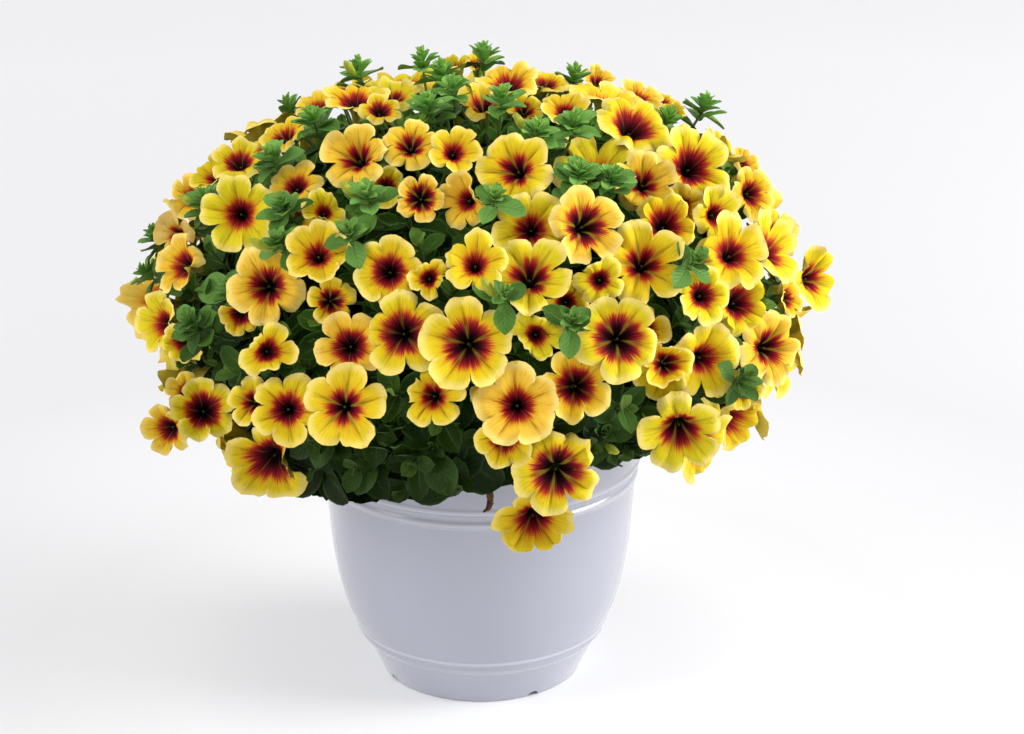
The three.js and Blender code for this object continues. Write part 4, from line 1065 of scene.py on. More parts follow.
class Recipe:
    """Builds the nodes of one procedural material."""

    def __init__(self, name: str) -> None:
        """Start a material with an empty principled surface."""
        self.material = bpy.data.materials.new(name)
        self.material.use_nodes = True
        self.tree = self.material.node_tree
        self.shader = self.tree.nodes["Principled BSDF"]

    def node(self, kind: str, **settings: object) -> bpy.types.Node:
        """Add a node and set its properties."""
        made = self.tree.nodes.new(kind)
        for name, value in settings.items():
            setattr(made, name, value)
        return made

    def fill(self, node: bpy.types.Node, inputs: dict[str | int, object]) -> None:
        """Link a node's inputs to values, or set them to plain ones."""
        for key, value in inputs.items():
            if isinstance(value, Value):
                self.tree.links.new(value.socket, node.inputs[key])
            else:
                node.inputs[key].default_value = value

    def math(self, operation: str, first: object, second: object = 0.0, clamp: bool = False) -> Value:
        """Combine two numbers."""
        made = self.node("ShaderNodeMath", operation=operation, use_clamp=clamp)
        self.fill(made, {0: first, 1: second})
        return Value(self, made.outputs[0])

    def blend(self, share: object, first: object, second: object, kind: str = "MIX") -> Value:
        """Mix two colours."""
        made = self.node("ShaderNodeMix", data_type="RGBA", blend_type=kind)
        opaque = [colour if isinstance(colour, Value) else (*colour, 1.0) for colour in (first, second)]
        self.fill(made, {0: share, 6: opaque[0], 7: opaque[1]})
        return Value(self, made.outputs[2])

    def lighten(self, colour: Value, gain: Value) -> Value:
        """Multiply a colour by a number."""
        return self.blend(1.0, colour, self.vector(gain, gain, gain), "MULTIPLY")

    def ramp(self, share: Value, stops: tuple[tuple[float, Colour], ...]) -> Value:
        """Run a number through a band of colours."""
        made = self.node("ShaderNodeValToRGB")
        self.fill(made, {0: share})
        elements = made.color_ramp.elements
        elements[0].position, elements[1].position = stops[0][0], stops[-1][0]
        elements[0].color, elements[1].color = (*stops[0][1], 1.0), (*stops[-1][1], 1.0)
        for position, colour in stops[1:-1]:
            elements.new(position).color = (*colour, 1.0)
        return Value(self, made.outputs[0])

    def noise(self, vector: Value, scale: float, detail: float = 2.0) -> Value:
        """Give a cloudy number round one half."""
        made = self.node("ShaderNodeTexNoise")
        self.fill(made, {"Vector": vector, "Scale": scale, "Detail": detail})
        return Value(self, made.outputs["Fac"])

    def specks(self, vector: Value, scale: float) -> Value:
        """Give the distance from the middles of random cells."""
        made = self.node("ShaderNodeTexVoronoi")
        self.fill(made, {"Vector": vector, "Scale": scale})
        return Value(self, made.outputs["Distance"])

    def vector(self, x: object, y: object, z: object) -> Value:
        """Put three numbers together."""
        made = self.node("ShaderNodeCombineXYZ")
        self.fill(made, {0: x, 1: y, 2: z})
        return Value(self, made.outputs[0])

    def split(self, vector: Value) -> tuple[Value, ...]:
        """Take a vector or a colour apart into three numbers."""
        made = self.node("ShaderNodeSeparateXYZ")
        self.fill(made, {0: vector})
        return tuple(Value(self, socket) for socket in made.outputs)

    def grain(self) -> tuple[Value, ...]:
        """Read the surface's two parameters."""
        return self.split(Value(self, self.node("ShaderNodeUVMap", uv_map="grain").outputs[0]))[:2]

    def tone(self) -> tuple[Value, ...]:
        """Read the four numbers that vary the finish from piece to piece."""
        layer = self.node("ShaderNodeAttribute", attribute_name="tone").outputs
        return (*self.split(Value(self, layer["Color"])), Value(self, layer["Alpha"]))

    def place(self) -> Value:
        """Read the place in the object, in metres."""
        return Value(self, self.node("ShaderNodeTexCoord").outputs["Object"])

    def bump(self, height: Value, distance: float, strength: float = 1.0) -> None:
        """Raise the surface a little where the height is large."""
        made = self.node("ShaderNodeBump")
        self.fill(made, {"Strength": strength, "Distance": distance, "Height": height})
        self.fill(self.shader, {"Normal": Value(self, made.outputs[0])})

    def finish(self, **sockets: object) -> bpy.types.Material:
        """Set the surface's sockets, named with spaces as underscores, and give the material."""
        self.fill(self.shader, {name.replace("_", " "): value for name, value in sockets.items()})
        return self.material


@dataclass(frozen=True)
class PetalFace:
    """The inside of a bloom: a dark maroon throat that breaks up through crimson and orange into yellow."""

    throat: tuple[tuple[float, Colour], ...] = (
        (0.0, (0.006, 0.001, 0.002)),
        (0.26, (0.012, 0.001, 0.003)),
        (0.33, (0.045, 0.002, 0.006)),
        (0.4, (0.14, 0.003, 0.01)),
        (0.47, (0.3, 0.008, 0.016)),
        (0.53, (0.5, 0.06, 0.014)),
        (0.58, (0.7, 0.24, 0.012)),
        (0.64, (0.78, 0.46, 0.01)),
        (0.72, (0.79, 0.55, 0.012)),
        (0.88, (0.8, 0.61, 0.018)),
    )
    lemon: Colour = (0.76, 0.635, 0.018)
    peach: Colour = (0.87, 0.53, 0.055)
    rim: Colour = (0.94, 0.75, 0.24)
    vein: Colour = (0.42, 0.2, 0.02)
    ray: Colour = (0.34, 0.25, 0.02)
    faded: Colour = (0.72, 0.5, 0.13)
    bloom_shade_share: float = 0.74
    bloom_shade_heights: tuple[float, float] = (0.13, 0.25)

    def make(self) -> bpy.types.Material:
        """Colour by distance from the throat, with streaks that run along the veins, and painted shade on low
        blooms.
        """
        make = Recipe("petal_face")
        turn, along = make.grain()
        hue, size, star, age = make.tone()
        cleft = make.math("FRACT", turn).off(0.5) * 2.0
        seed = age * SEED_STRIDE
        coarse = make.noise(make.vector(turn * 5.0, along, seed), 1.6, 2.0)
        fine = make.noise(make.vector(turn * 22.0, along * 1.5, seed), 1.5, 3.0)
        branch = make.noise(make.vector(turn * 6.0, along * 0.5, seed), 1.5, 1.0)
        cloud = make.noise(make.place(), 60.0, 2.0)

        # The throat grows with the bloom's size number, and its points reach further on starry blooms.
        streak = coarse * 0.16 + fine * 0.3 - 0.22
        points = star * cleft.ease(0.0, 0.9) * 0.12
        reach = along + streak - (size - 0.72) * 0.17 + star * 0.05 - points
        outer = reach.ease(0.52, 0.8)
        colour = make.ramp(reach, self.throat)
        colour = make.blend(outer * hue.ease(0.55, 1.05), colour, self.peach)
        colour = make.blend(outer * hue.ease(0.5, 0.0), colour, self.lemon)

        # Veins, thin branching threads, the midvein, and the greenish ray along each cleft.
        colour = make.blend(fine.ease(0.52, 0.75) * outer * 0.35, colour, self.vein)
        thread = branch.off(0.5).ease(0.022, 0.004) * along.ease(0.4, 0.55) * along.ease(1.0, 0.8)
        colour = make.blend(thread * 0.34, colour, self.ray)
        midvein = cleft.ease(0.1, 0.0) * along.ease(0.97, 0.6)
        colour = make.blend(midvein * 0.45, colour, self.vein)
        frayed = cleft - (fine - 0.5) * 0.5
        ray = frayed.ease(0.34, 0.05) * along.ease(0.68, 0.4) * along.ease(0.1, 0.26) * star
        colour = make.blend(ray * 0.9, colour, self.ray)

        # A pale rim, a faded look on the oldest blooms, and painted shade that darkens the blooms low on the
        # plant.
        edge = make.math("MULTIPLY", along.ease(0.78, 0.98), cloud + 0.3, clamp=True)
        colour = make.blend(edge, colour, self.rim)
        colour = make.blend(outer * age.ease(0.975, 1.0), colour, self.faded)
        # Painted shade: the colour is darkened on blooms low on the plant, where the dome shades them.
        z = make.split(make.place())[2]
        colour = make.lighten(colour, z.ease(*self.bloom_shade_heights) * (1.0 - self.bloom_shade_share) + self.bloom_shade_share)
        make.bump(fine * 0.6 - midvein * 0.5, 0.0009, 0.8)
        return make.finish(Base_Color=colour, Roughness=0.6, Specular_IOR_Level=0.07)


@dataclass(frozen=True)
class PetalBack:
    """The outside of a bloom: mustard petals, and a tube with brownish mauve veins."""

    petal: Colour = (0.66, 0.52, 0.035)
    tube: Colour = (0.4, 0.34, 0.035)
    vein: Colour = (0.16, 0.07, 0.05)
    rim: Colour = (0.8, 0.64, 0.09)

    def make(self) -> bpy.types.Material:
        """Colour by distance from the tube's foot, with veins along the tube and up each petal."""
        make = Recipe("petal_back")
        turn, along = make.grain()
        age = make.tone()[3]
        cleft = make.math("FRACT", turn).off(0.5)
        fine = make.noise(make.vector(turn * 16.0, along * 2.0, age * SEED_STRIDE), 1.5, 3.0)
        colour = make.blend(along.ease(0.15, 0.62), self.tube, self.petal)
        colour = make.blend(along.ease(0.75, 1.0) * 0.8, colour, self.rim)
        colour = make.blend(fine.ease(0.45, 0.7) * along.ease(0.8, 0.1) * 0.7, colour, self.vein)
        colour = make.blend(cleft.ease(0.06, 0.0) * along.ease(0.95, 0.3) * 0.5, colour, self.tube)
        make.bump(fine, 0.0005, 0.7)
        return make.finish(Base_Color=colour, Roughness=0.65, Sheen_Weight=0.05, Specular_IOR_Level=0.25)


@dataclass(frozen=True)
class LeafGreen:
    """Leaf blades: blue-green and pale when young, deep green when old, with a pale midrib and side veins."""

    young: Colour = (0.125, 0.262, 0.05)
    grown: Colour = (0.034, 0.09, 0.004)
    deep: Colour = (0.009, 0.032, 0.002)
    rib: Colour = (0.13, 0.27, 0.06)
    tip: Colour = (0.27, 0.4, 0.05)
    aged_and_shaded_share: float = 0.28
    middle_gain: float = 0.75
    middle_heights: tuple[float, float] = (0.18, 0.3)
    top_gain: float = 0.6
    top_heights: tuple[float, float] = (0.31, 0.39)
    side_veins: float = 6.0
    vein_arch: float = 2.2

    def make(self) -> bpy.types.Material:
        """Colour by age, then draw the midrib, arched side veins, a pale edge and cloudy patches.

        Leaves lighten with height, partly by age and partly as painted shade and light: the old, shaded ones
        at the rim are near black-green, the top ones fresh and painted lighter.
        """
        make = Recipe("leaf_green")
        aside, along = make.grain()
        youth, light, fresh, _ = make.tone()
        off = aside.off(0.5) * 2.0
        colour = make.blend(youth.ease(0.0, 0.5), self.deep, self.grown)
        colour = make.blend(youth.ease(0.4, 1.0), colour, self.young)
        colour = make.blend(fresh * along.ease(1.2, 0.1), colour, self.tip)
        cloud = make.noise(make.place(), 90.0, 3.0)
        colour = make.lighten(colour, cloud * 0.7 + light * 0.5 + 0.42)
        rib = off.ease(0.16, 0.02) * along.ease(1.05, 0.3)
        wave = make.math("FRACT", along * self.side_veins - off * self.vein_arch).off(0.5)
        side = wave.ease(0.11, 0.0) * off.ease(1.0, 0.5)
        pale = make.math("ADD", rib * 0.6 + side * 0.22, off.ease(0.8, 1.0) * 0.5, clamp=True)
        colour = make.blend(pale, colour, self.rib)
        # Painted shade low on the plant and painted light near its top, over the older leaves' own darker
        # green.
        z = make.split(make.place())[2]
        gain = z.ease(*self.middle_heights) * self.middle_gain + z.ease(*self.top_heights) * self.top_gain
        colour = make.lighten(colour, gain + self.aged_and_shaded_share)
        make.bump(rib * -0.8 - side * 0.5 + cloud * 0.4, 0.0008, 0.8)
        return make.finish(Base_Color=colour, Roughness=0.42, Sheen_Weight=0.01, Specular_IOR_Level=0.09)


@dataclass(frozen=True)
class Flesh:
    """A soft plant part of one cloudy colour, such as a stalk, a bud, a stigma or a dry petal."""

    name: str
    base: Colour
    other: Colour
    lines: float
    roughness: float
    relief: float = 0.0005

    def make(self) -> bpy.types.Material:
        """Mix two colours by noise drawn out along the part."""
        make = Recipe(self.name)
        turn, along = make.grain()
        lines = make.noise(make.vector(turn * self.lines, along * 2.0, make.tone()[0]), 3.0, 3.0)
        cloud = make.noise(make.place(), 220.0, 2.0)
        colour = make.blend(lines.ease(0.35, 0.68), self.base, self.other)
        colour = make.blend(cloud * 0.25, colour, self.base, "MULTIPLY")
        make.bump(lines, self.relief, 0.8)
        return make.finish(
            Base_Color=colour, Roughness=self.roughness, Sheen_Weight=0.04, Specular_IOR_Level=0.2
        )


@dataclass(frozen=True)
class PotPlastic:
    """Moulded plastic: a cool light grey with a soft gloss, faint clouding, soil specks near the rim and
    painted highlights on its rings.
    """

    grey: Colour = (0.355, 0.365, 0.44)
    dusty: Colour = (0.33, 0.34, 0.405)
    crest_highlight: Colour = (0.56, 0.57, 0.64)
    speck: Colour = (0.12, 0.09, 0.07)
    highlight_levels: tuple[float, ...] = (0.0351, 0.1372, 0.1462)
    speck_heights: tuple[float, float] = (0.11, 0.14)

    def make(self) -> bpy.types.Material:
        """Cloud the colour and the gloss, with small dark specks, painted highlight lines on the rings'
        crests and the mould's slight waviness.
        """
        make = Recipe("pot_plastic")
        place = make.place()
        z = make.split(place)[2]
        cloud = make.noise(place, 9.0, 3.0)
        marks = make.specks(place, 110.0).ease(0.1, 0.05) * cloud.ease(0.5, 0.62)
        marks = marks * z.ease(*self.speck_heights)
        colour = make.blend(cloud.ease(0.35, 0.7) * 0.35, self.grey, self.dusty)
        # Painted highlights: a lighter grey along the crests of the foot's step and of the two rings under
        # the rim.
        for level in self.highlight_levels:
            colour = make.blend(z.off(level).ease(0.0016, 0.0004) * 0.6, colour, self.crest_highlight)
        colour = make.blend(marks * 0.7, colour, self.speck)
        make.bump(make.noise(place, 1400.0, 2.0) * 0.05 + make.noise(place, 28.0, 1.0), 0.0006, 0.35)
        rough = cloud * 0.08 + marks * 0.4 + 0.2
        return make.finish(
            Base_Color=colour, Roughness=rough, Coat_Weight=1.0, Coat_Roughness=0.24, Coat_IOR=1.7
        )


@dataclass(frozen=True)
class PottingMix:
    """Moist peat with bark, crumbly, with a few pale grains."""

    peat: Colour = (0.03, 0.018, 0.011)
    bark: Colour = (0.1, 0.055, 0.03)
    grain: Colour = (0.5, 0.46, 0.4)

    def make(self) -> bpy.types.Material:
        """Mix peat and bark by noise, with pale specks at the middles of small cells."""
        make = Recipe("potting_mix")
        place = make.place()
        crumbs = make.noise(place, 260.0, 5.0)
        colour = make.blend(crumbs.ease(0.4, 0.62), self.peat, self.bark)
        colour = make.blend(make.specks(place, 120.0).ease(0.16, 0.1), colour, self.grain)
        make.bump(crumbs, 0.003)
        return make.finish(Base_Color=colour, Roughness=0.95)


def plant_finishes() -> list[bpy.types.Material]:
    """Make the finishes that plant pieces share, in the order of their skins."""
    makers = {
        Skin.PETAL_FACE: PetalFace(),
        Skin.PETAL_BACK: PetalBack(),
        Skin.STALK: Flesh("stalk", (0.09, 0.17, 0.035), (0.17, 0.26, 0.07), 6.0, 0.6),
        Skin.LEAF: LeafGreen(),
        Skin.BUD: Flesh("bud", (0.28, 0.38, 0.03), (0.6, 0.55, 0.05), 14.0, 0.55),
        Skin.STIGMA: Flesh("stigma", (0.05, 0.06, 0.012), (0.12, 0.13, 0.03), 3.0, 0.4),
        Skin.DRY: Flesh("dry_petal", (0.06, 0.018, 0.008), (0.24, 0.1, 0.035), 9.0, 0.85, 0.0015),
        Skin.SHADE: Flesh("core_shade", (0.006, 0.014, 0.005), (0.012, 0.03, 0.01), 30.0, 0.9, 0.004),
    }
    return [makers[skin].make() for skin in Skin]


def dress(piece: bpy.types.Object, slot: str, *nodes: str) -> None:
    """Fix a finished piece to the plant's one body and say which solids it stands for."""
    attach(piece, "root")
    if nodes:
        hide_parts(*nodes)
    log.info("%s: %d faces, replaces %s", piece.name, len(piece.data.polygons), list(nodes))


@dataclass
class Trumpets:
    """The blooms of each spray, with their calyces, stigmas and stalks, in one piece a spray."""

    finishes: list[bpy.types.Material]
    form: TrumpetForm = field(default_factory=TrumpetForm)
    varieties: int = 400
    stalk_radius: float = 0.0011
    stalk_start: float = 0.9
    shortest_stalk: float = 0.002
    sepals: int = 5
    sepal_length: float = 0.0095
    sepal_width: float = 0.0034
    sepal_lean: float = 0.38
    sepal_offset: tuple[float, float] = (0.0012, 0.001)
    stigma_radius: float = 0.0008
    stigma_heights: tuple[float, ...] = (-0.95, -0.6, -0.46, -0.41, -0.37)
    stigma_shape: tuple[float, ...] = (0.4, 0.4, 0.7, 1.0, 0.45)

    def tones(self, blooms: list[Bloom]) -> np.ndarray:
        """Give each bloom its hue, throat size, star share and age."""
        tones = np.random.default_rng(5).random((self.varieties, 4))[[bloom.order for bloom in blooms]]
        tones[:, 2] = smooth(tones[:, 2], 0.4, 0.75)
        return tones

    def calyx(self, bloom: Bloom) -> LeafSet:
        """Set narrow sepals round the foot of the tube, bent out a little from its axis."""
        count = self.sepals
        base = bloom.middle - bloom.facing * min(self.form.length_share * bloom.radius, self.form.longest)
        axis = np.repeat(bloom.facing[None], count, axis=0)
        first = across(axis)
        out = swing(FULL_TURN * (np.arange(count) + 0.3) / count, first, np.cross(axis, first))
        along = unit(axis + self.sepal_lean * out)
        return LeafSet(
            root=base + self.sepal_offset[0] * out - self.sepal_offset[1] * axis,
            along=along,
            upward=squared(axis, along),
            length=np.full(count, self.sepal_length),
            width=np.full(count, self.sepal_width),
            droop=np.full(count, -0.1),
            rounding=np.full(count, 0.2),
            tone=np.tile([0.8, 0.5, 0.3, 0.2], (count, 1)),
        )

    def add_stem(self, draft: Draft, bloom: Bloom) -> None:
        """Carry the stalk from the tube to its knot in one bend, and stand the stigma in the throat."""
        start = bloom.middle - bloom.facing * (self.stalk_start * self.form.longest)
        path = np.concatenate([start[None], bloom.stalk])
        if len(path) < 3:
            path = np.concatenate([path, path[-1:] - self.shortest_stalk * bloom.facing])
        curve = curve_through(path, 9, (-bloom.facing, unit(path[-1] - path[-2])))
        draft.add_tube(curve, np.linspace(1.25, 1.0, len(curve)) * self.stalk_radius, 6, 0.2, Skin.STALK)
        rise = np.array(self.stigma_heights) * bloom.radius
        thick = np.array(self.stigma_shape) * self.stigma_radius
        draft.add_tube(bloom.middle + rise[:, None] * bloom.facing, thick, 6, 0.6, Skin.STIGMA)

    def build(self, sprays: dict[str, list[Bloom]]) -> None:
        """Make one piece for each packed spray, given by its node's name, and let it stand for that spray."""
        every = [bloom for blooms in sprays.values() for bloom in blooms]
        patch, parameters, skins = self.form.patch(), self.form.parameters(), self.form.skins()
        sheets = self.form.sheets(every)
        sepals = LeafForm(columns=3, rows=(0.0, 0.2, 0.5, 0.8, 1.0))
        for node, blooms in sprays.items():
            draft = Draft()
            draft.add(patch, sheets[[bloom.order for bloom in blooms]], parameters, self.tones(blooms), skins)
            for bloom in blooms:
                self.add_stem(draft, bloom)
                sepals.add(draft, self.calyx(bloom))
            dress(draft.build(node.replace("bloom_spray", "trumpets"), self.finishes), "petal", node)


@dataclass
class Greenery:
    """Everything green: the shaded core, its leaves, the shoots that reach the surface, and the skirt."""

    finishes: list[bpy.types.Material]
    room: BloomRoom
    dome: Dome = field(default_factory=Dome)
    form: LeafForm = field(default_factory=LeafForm)
    fine_form: LeafForm = LeafForm(rows=(0.0, 0.08, 0.21, 0.37, 0.54, 0.7, 0.85, 0.95, 1.0))
    core_columns: int = 72
    core_shrink: float = 0.975
    core_lumps: float = 0.025
    core_leaves: int = 620
    inner_shoots: int = 230
    inner_leaves: int = 9
    inner_gaps: tuple[float, float] = (0.014, 0.03)
    inner_depths: tuple[float, float] = (0.02, 0.002)
    inner_first: float = 0.0012
    inner_spacing: float = 0.0036
    inner_rise: float = 0.35
    tip_leaves: int = 20
    tip_kept: int = 8
    skirt_leaves: int = 190
    skirt_radius: float = 0.104
    skirt_width: float = 0.052
    skirt_height: float = 0.176
    skirt_rise: float = 0.018
    skirt_dip: float = 0.005
    leaf_sink: float = 0.004
    stem_radius: float = 0.0011
    tip_depth: float = 0.05
    tip_bend: float = 0.02
    tip_rise: float = 0.7
    tip_growth: float = 0.004
    pot_radius: float = 0.108
    pot_height: float = 0.174
    hem_front: float = 0.166
    hem_reach: float = 0.115
    hem_rise: float = 0.42
    hem_slope: float = 0.2
    hem_ends: tuple[float, float] = (-0.2, 0.05)
    hem_fall: float = 0.04
    hem_sides: tuple[float, float] = (-0.1, 0.5)
    window: tuple[Place, Place] = ((-0.011, -0.2, 0.14), (0.017, -0.103, 0.18))

    def tone(self, count: int, youth: tuple[float, float], rng: np.random.Generator) -> np.ndarray:
        """Vary the finish of leaves: their youth, lightness, fresh tips, none here, and a free number."""
        ages, lights = rng.uniform(*youth, count), rng.uniform(0.1, 0.9, count)
        return np.stack([ages, lights, np.zeros(count), rng.random(count)], -1)

    def clear(self, leaves: LeafSet) -> LeafSet:
        """Drop the leaves that would cut a bloom or the pot."""
        probes = leaves.probes()
        low = np.hypot(probes[..., 0], probes[..., 1]) < self.pot_radius
        low &= probes[..., 2] < self.pot_height
        return leaves.take(self.room.free(probes) & ~low.any(axis=1))

    def hemmed(self, leaves: LeafSet) -> LeafSet:
        """Raise the leaves that hang below the hem, and drop those that would hide the spent bloom.

        At the front the hem's height is a base, plus a rise with reach past the rim, plus a slope times x.
        It falls away round the sides.
        """
        probes = leaves.probes()
        reach = np.hypot(probes[..., 0], probes[..., 1])
        front = smooth(-probes[..., 1] / np.maximum(reach, TINY), *self.hem_sides)
        hem = self.hem_front + self.hem_rise * np.maximum(reach - self.hem_reach, 0.0)
        hem = hem + self.hem_slope * np.clip(probes[..., 0], *self.hem_ends) - self.hem_fall * (1.0 - front)
        short = np.maximum(hem - probes[..., 2], 0.0).max(axis=1)
        leaves = replace(leaves, root=leaves.root + short[:, None] * UP)
        probes = leaves.probes()
        low, high = np.array(self.window)
        hiding = ((probes > low) & (probes < high)).all(axis=-1).any(axis=1)
        return leaves.take(~hiding)

    def core(self) -> None:
        """Make the shaded inner mass: the core's profile turned about the axis and made lumpy by waves."""
        profile = eased(np.array(self.dome.core_profile) * (self.core_shrink, 1.0))
        turns = even_turns(self.core_columns)
        radius, height = profile[:, 0][None], profile[:, 1][None]
        lumps = np.sin(9 * turns[:, None] + 60 * height) * np.sin(5 * turns[:, None] - 90 * height)
        radius = radius * (1.0 - self.core_lumps * (1.0 + lumps))
        core = lathe("shaded_core", turns, radius, height, 0.3, self.finishes[Skin.SHADE])
        dress(core, "leaf", "foliage")

    def core_cover(self, rng: np.random.Generator) -> LeafSet:
        """Lay leaves over the whole core like shingles, each lifted off it at its own angle."""
        points, normals = self.dome.core_points(self.core_leaves)
        count = len(points)
        leaves = LeafSet.grow(
            root=points - self.leaf_sink * normals,
            axis=normals,
            turn=rng.uniform(0.0, FULL_TURN, count),
            spread=rng.uniform(0.5, 1.25, count),
            length=rng.uniform(0.024, 0.034, count),
            slimness=rng.uniform(0.6, 0.85, count),
            rounding=0.7,
            tone=self.tone(count, (0.0, 0.45), rng),
        )
        return self.clear(leaves)

    def inner(self, draft: Draft, rng: np.random.Generator) -> LeafSet:
        """Grow shoots from the core into every gap between the blooms, with leaves spiralling down each."""
        surface = self.dome.spiral(self.inner_shoots)
        normals = self.dome.normals(surface)
        gap = self.room.nearest(surface)
        depth = np.interp(gap, self.inner_gaps, self.inner_depths) + rng.uniform(0.0, 0.006, len(surface))
        tip = surface - normals * depth[:, None]
        rise = unit(normals + self.inner_rise * UP)
        clear = self.room.free(np.stack([tip, tip - self.leaf_sink * normals], axis=1))
        tip, rise, normals = tip[clear], rise[clear], normals[clear]
        radii = np.linspace(1.2, 0.5, 6) * self.stem_radius
        for end, axis, normal in zip(tip, rise, normals):
            path = np.array([end - 0.045 * normal, end - 0.02 * axis, end])
            draft.add_tube(curve_through(path, len(radii)), radii, 5, 0.2, Skin.STALK)
        order = np.tile(np.arange(self.inner_leaves), len(tip))
        shoot = np.repeat(np.arange(len(tip)), self.inner_leaves)
        count = len(order)
        marks = (0, 3, 8)
        length = np.interp(order, marks, (0.009, 0.02, 0.028)) * rng.uniform(0.85, 1.15, count)
        tone = self.tone(count, (0.0, 0.2), rng)
        tone[:, 0] += np.interp(order, marks, (0.8, 0.4, 0.0))
        tone[:, 2] = np.where(order < 2, 0.35, 0.0)
        leaves = LeafSet.grow(
            root=tip[shoot] - rise[shoot] * (self.inner_first + self.inner_spacing * order)[:, None],
            axis=rise[shoot],
            turn=order * GOLDEN_ANGLE + shoot * 1.7,
            spread=np.interp(order, marks, (0.35, 1.0, 1.45)) + rng.uniform(-0.15, 0.15, count),
            length=length,
            slimness=rng.uniform(0.55, 0.72, count),
            rounding=0.35,
            tone=tone,
        )
        return self.clear(leaves)

    def tips(self, draft: Draft, shoots: list[Shoot], rng: np.random.Generator) -> list[LeafSet]:
        """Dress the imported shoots: their own leaves, and a crown with more leaves on each young one."""
        sets = []
        for number, shoot in enumerate(shoots):
            tone = self.tone(len(shoot.leaves), (0.02, 0.3) if shoot.rounded else (0.6, 0.95), rng)
            sets.append(LeafSet.gather(shoot.leaves, tone))
            if not shoot.rounded:
                sets.append(self.crown(draft, shoot, number, rng))
        return sets

    def crown(self, draft: Draft, shoot: Shoot, number: int, rng: np.random.Generator) -> LeafSet:
        """Grow a shoot's tip upwards, with leaves from tiny ones at the top to full ones, and a bud on some.

        A lone leaf has no stem's end, so that its tip and foot are one point. It gets no stem of its own.
        """
        count = self.tip_leaves
        order = np.arange(count)
        axis = unit(shoot.tip - shoot.foot)
        upright = unit(axis + self.tip_rise * UP)
        top = shoot.tip + self.tip_growth * upright
        if axis.any():
            inward = self.tip_depth * unit(np.array(self.dome.middle) - shoot.tip)
            path = np.array([shoot.tip + inward, shoot.tip - self.tip_bend * axis, shoot.tip, top])
            radii = np.linspace(1.3, 0.6, 7) * self.stem_radius
            draft.add_tube(curve_through(path, len(radii)), radii, 6, 0.6, Skin.STALK)
        tone = self.tone(count, (0.0, 0.2), rng)
        tone[:, 0] += np.interp(order, (0, 9, 19), (0.9, 0.95, 0.5))
        tone[:, 1] = 0.45 + 0.6 * tone[:, 1]
        tone[:, 2] = np.interp(order, (0, 7), (0.6, 0.0))
        marks = (0, 7, 13, 19)
        leaves = LeafSet.grow(
            root=top - upright * np.interp(order, marks, (0.0004, 0.004, 0.008, 0.02))[:, None],
            axis=np.repeat(upright[None], count, axis=0),
            turn=order * GOLDEN_ANGLE + number,
            spread=np.interp(order, marks, (0.2, 0.7, 1.0, 1.25)) + rng.uniform(-0.18, 0.18, count),
            length=np.interp(order, marks, (0.006, 0.0095, 0.0155, 0.018)) * rng.uniform(0.85, 1.15, count),
            slimness=np.interp(order, marks, (0.4, 0.48, 0.64, 0.76)),
            rounding=np.interp(order, marks, (0.1, 0.3, 0.85, 0.85)),
            tone=tone,
        )
        if number % 3 == 1:
            self.add_bud(draft, top, upright, number)
        return leaves.take(self.room.free(leaves.probes()) | (order < self.tip_kept))

    def add_bud(self, draft: Draft, tip: np.ndarray, axis: np.ndarray, number: int) -> None:
        """Stand a closed bud beside a tip: a slim spindle, fluted where its petals are folded."""
        rings, sides = 14, 15
        side = across(axis[None])[0]
        aside = math.cos(number) * side + math.sin(number) * np.cross(axis, side)
        steps = np.array([[0.0, 0.0], [0.006, 0.003], [0.015, 0.013]])
        path = curve_through(tip - 0.009 * axis + steps[:, :1] * aside + steps[:, 1:] * axis, rings)
        marks, radii = (0.0, 0.3, 0.42, 0.7, 0.88, 1.0), (0.0008, 0.0009, 0.002, 0.0026, 0.002, 0.0005)
        shape = np.interp(np.linspace(0, 1, rings), marks, radii)
        flutes = 1.0 + 0.12 * np.cos(PETALS * even_turns(sides))
        draft.add_tube(path, shape[:, None] * flutes, sides, 0.3, Skin.BUD)

    def skirt(self, rng: np.random.Generator) -> LeafSet:
        """Hang large round leaves over the rim and under the lowest blooms."""
        count = self.skirt_leaves
        turn = np.arange(count) * GOLDEN_ANGLE
        share = (np.arange(count) * GOLDEN_SHARE) % 1.0
        radius = self.skirt_radius + self.skirt_width * share + rng.uniform(-0.004, 0.004, count)
        height = self.skirt_height + self.skirt_rise * share + rng.uniform(-0.004, 0.008, count)
        height = height - self.skirt_dip * (1.0 - np.cos(turn))
        radial = turned(turn, 1.0, 0.0)
        leaves = LeafSet.grow(
            root=turned(turn, radius, height),
            axis=unit(radial - UP * rng.uniform(-0.1, 0.5, (count, 1))),
            turn=rng.uniform(0.0, FULL_TURN, count),
            spread=rng.uniform(0.1, 0.95, count),
            length=rng.uniform(0.024, 0.032, count),
            slimness=rng.uniform(0.72, 0.88, count),
            rounding=1.0,
            tone=self.tone(count, (0.02, 0.36), rng),
        )
        return self.clear(replace(leaves, upward=squared(unit(radial + 0.5 * UP), leaves.along)))

    def build(self, shoots: list[Shoot]) -> None:
        """Make the green pieces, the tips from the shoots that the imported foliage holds."""
        rng = np.random.default_rng(23)
        self.core()
        makers = {
            "core_leaves": (self.form, lambda draft: [self.core_cover(rng)]),
            "inner_shoots": (self.form, lambda draft: [self.inner(draft, rng)]),
            "leafy_tips": (self.fine_form, lambda draft: self.tips(draft, shoots, rng)),
            "skirt_leaves": (self.fine_form, lambda draft: [self.skirt(rng)]),
        }
        for name, (form, maker) in makers.items():
            draft = Draft()
            leaves = self.hemmed(LeafSet.join(maker(draft)))
            form.add(draft, leaves)
            log.info("%s: %d leaves", name, len(leaves.root))
            dress(draft.build(name, self.finishes), "leaf")


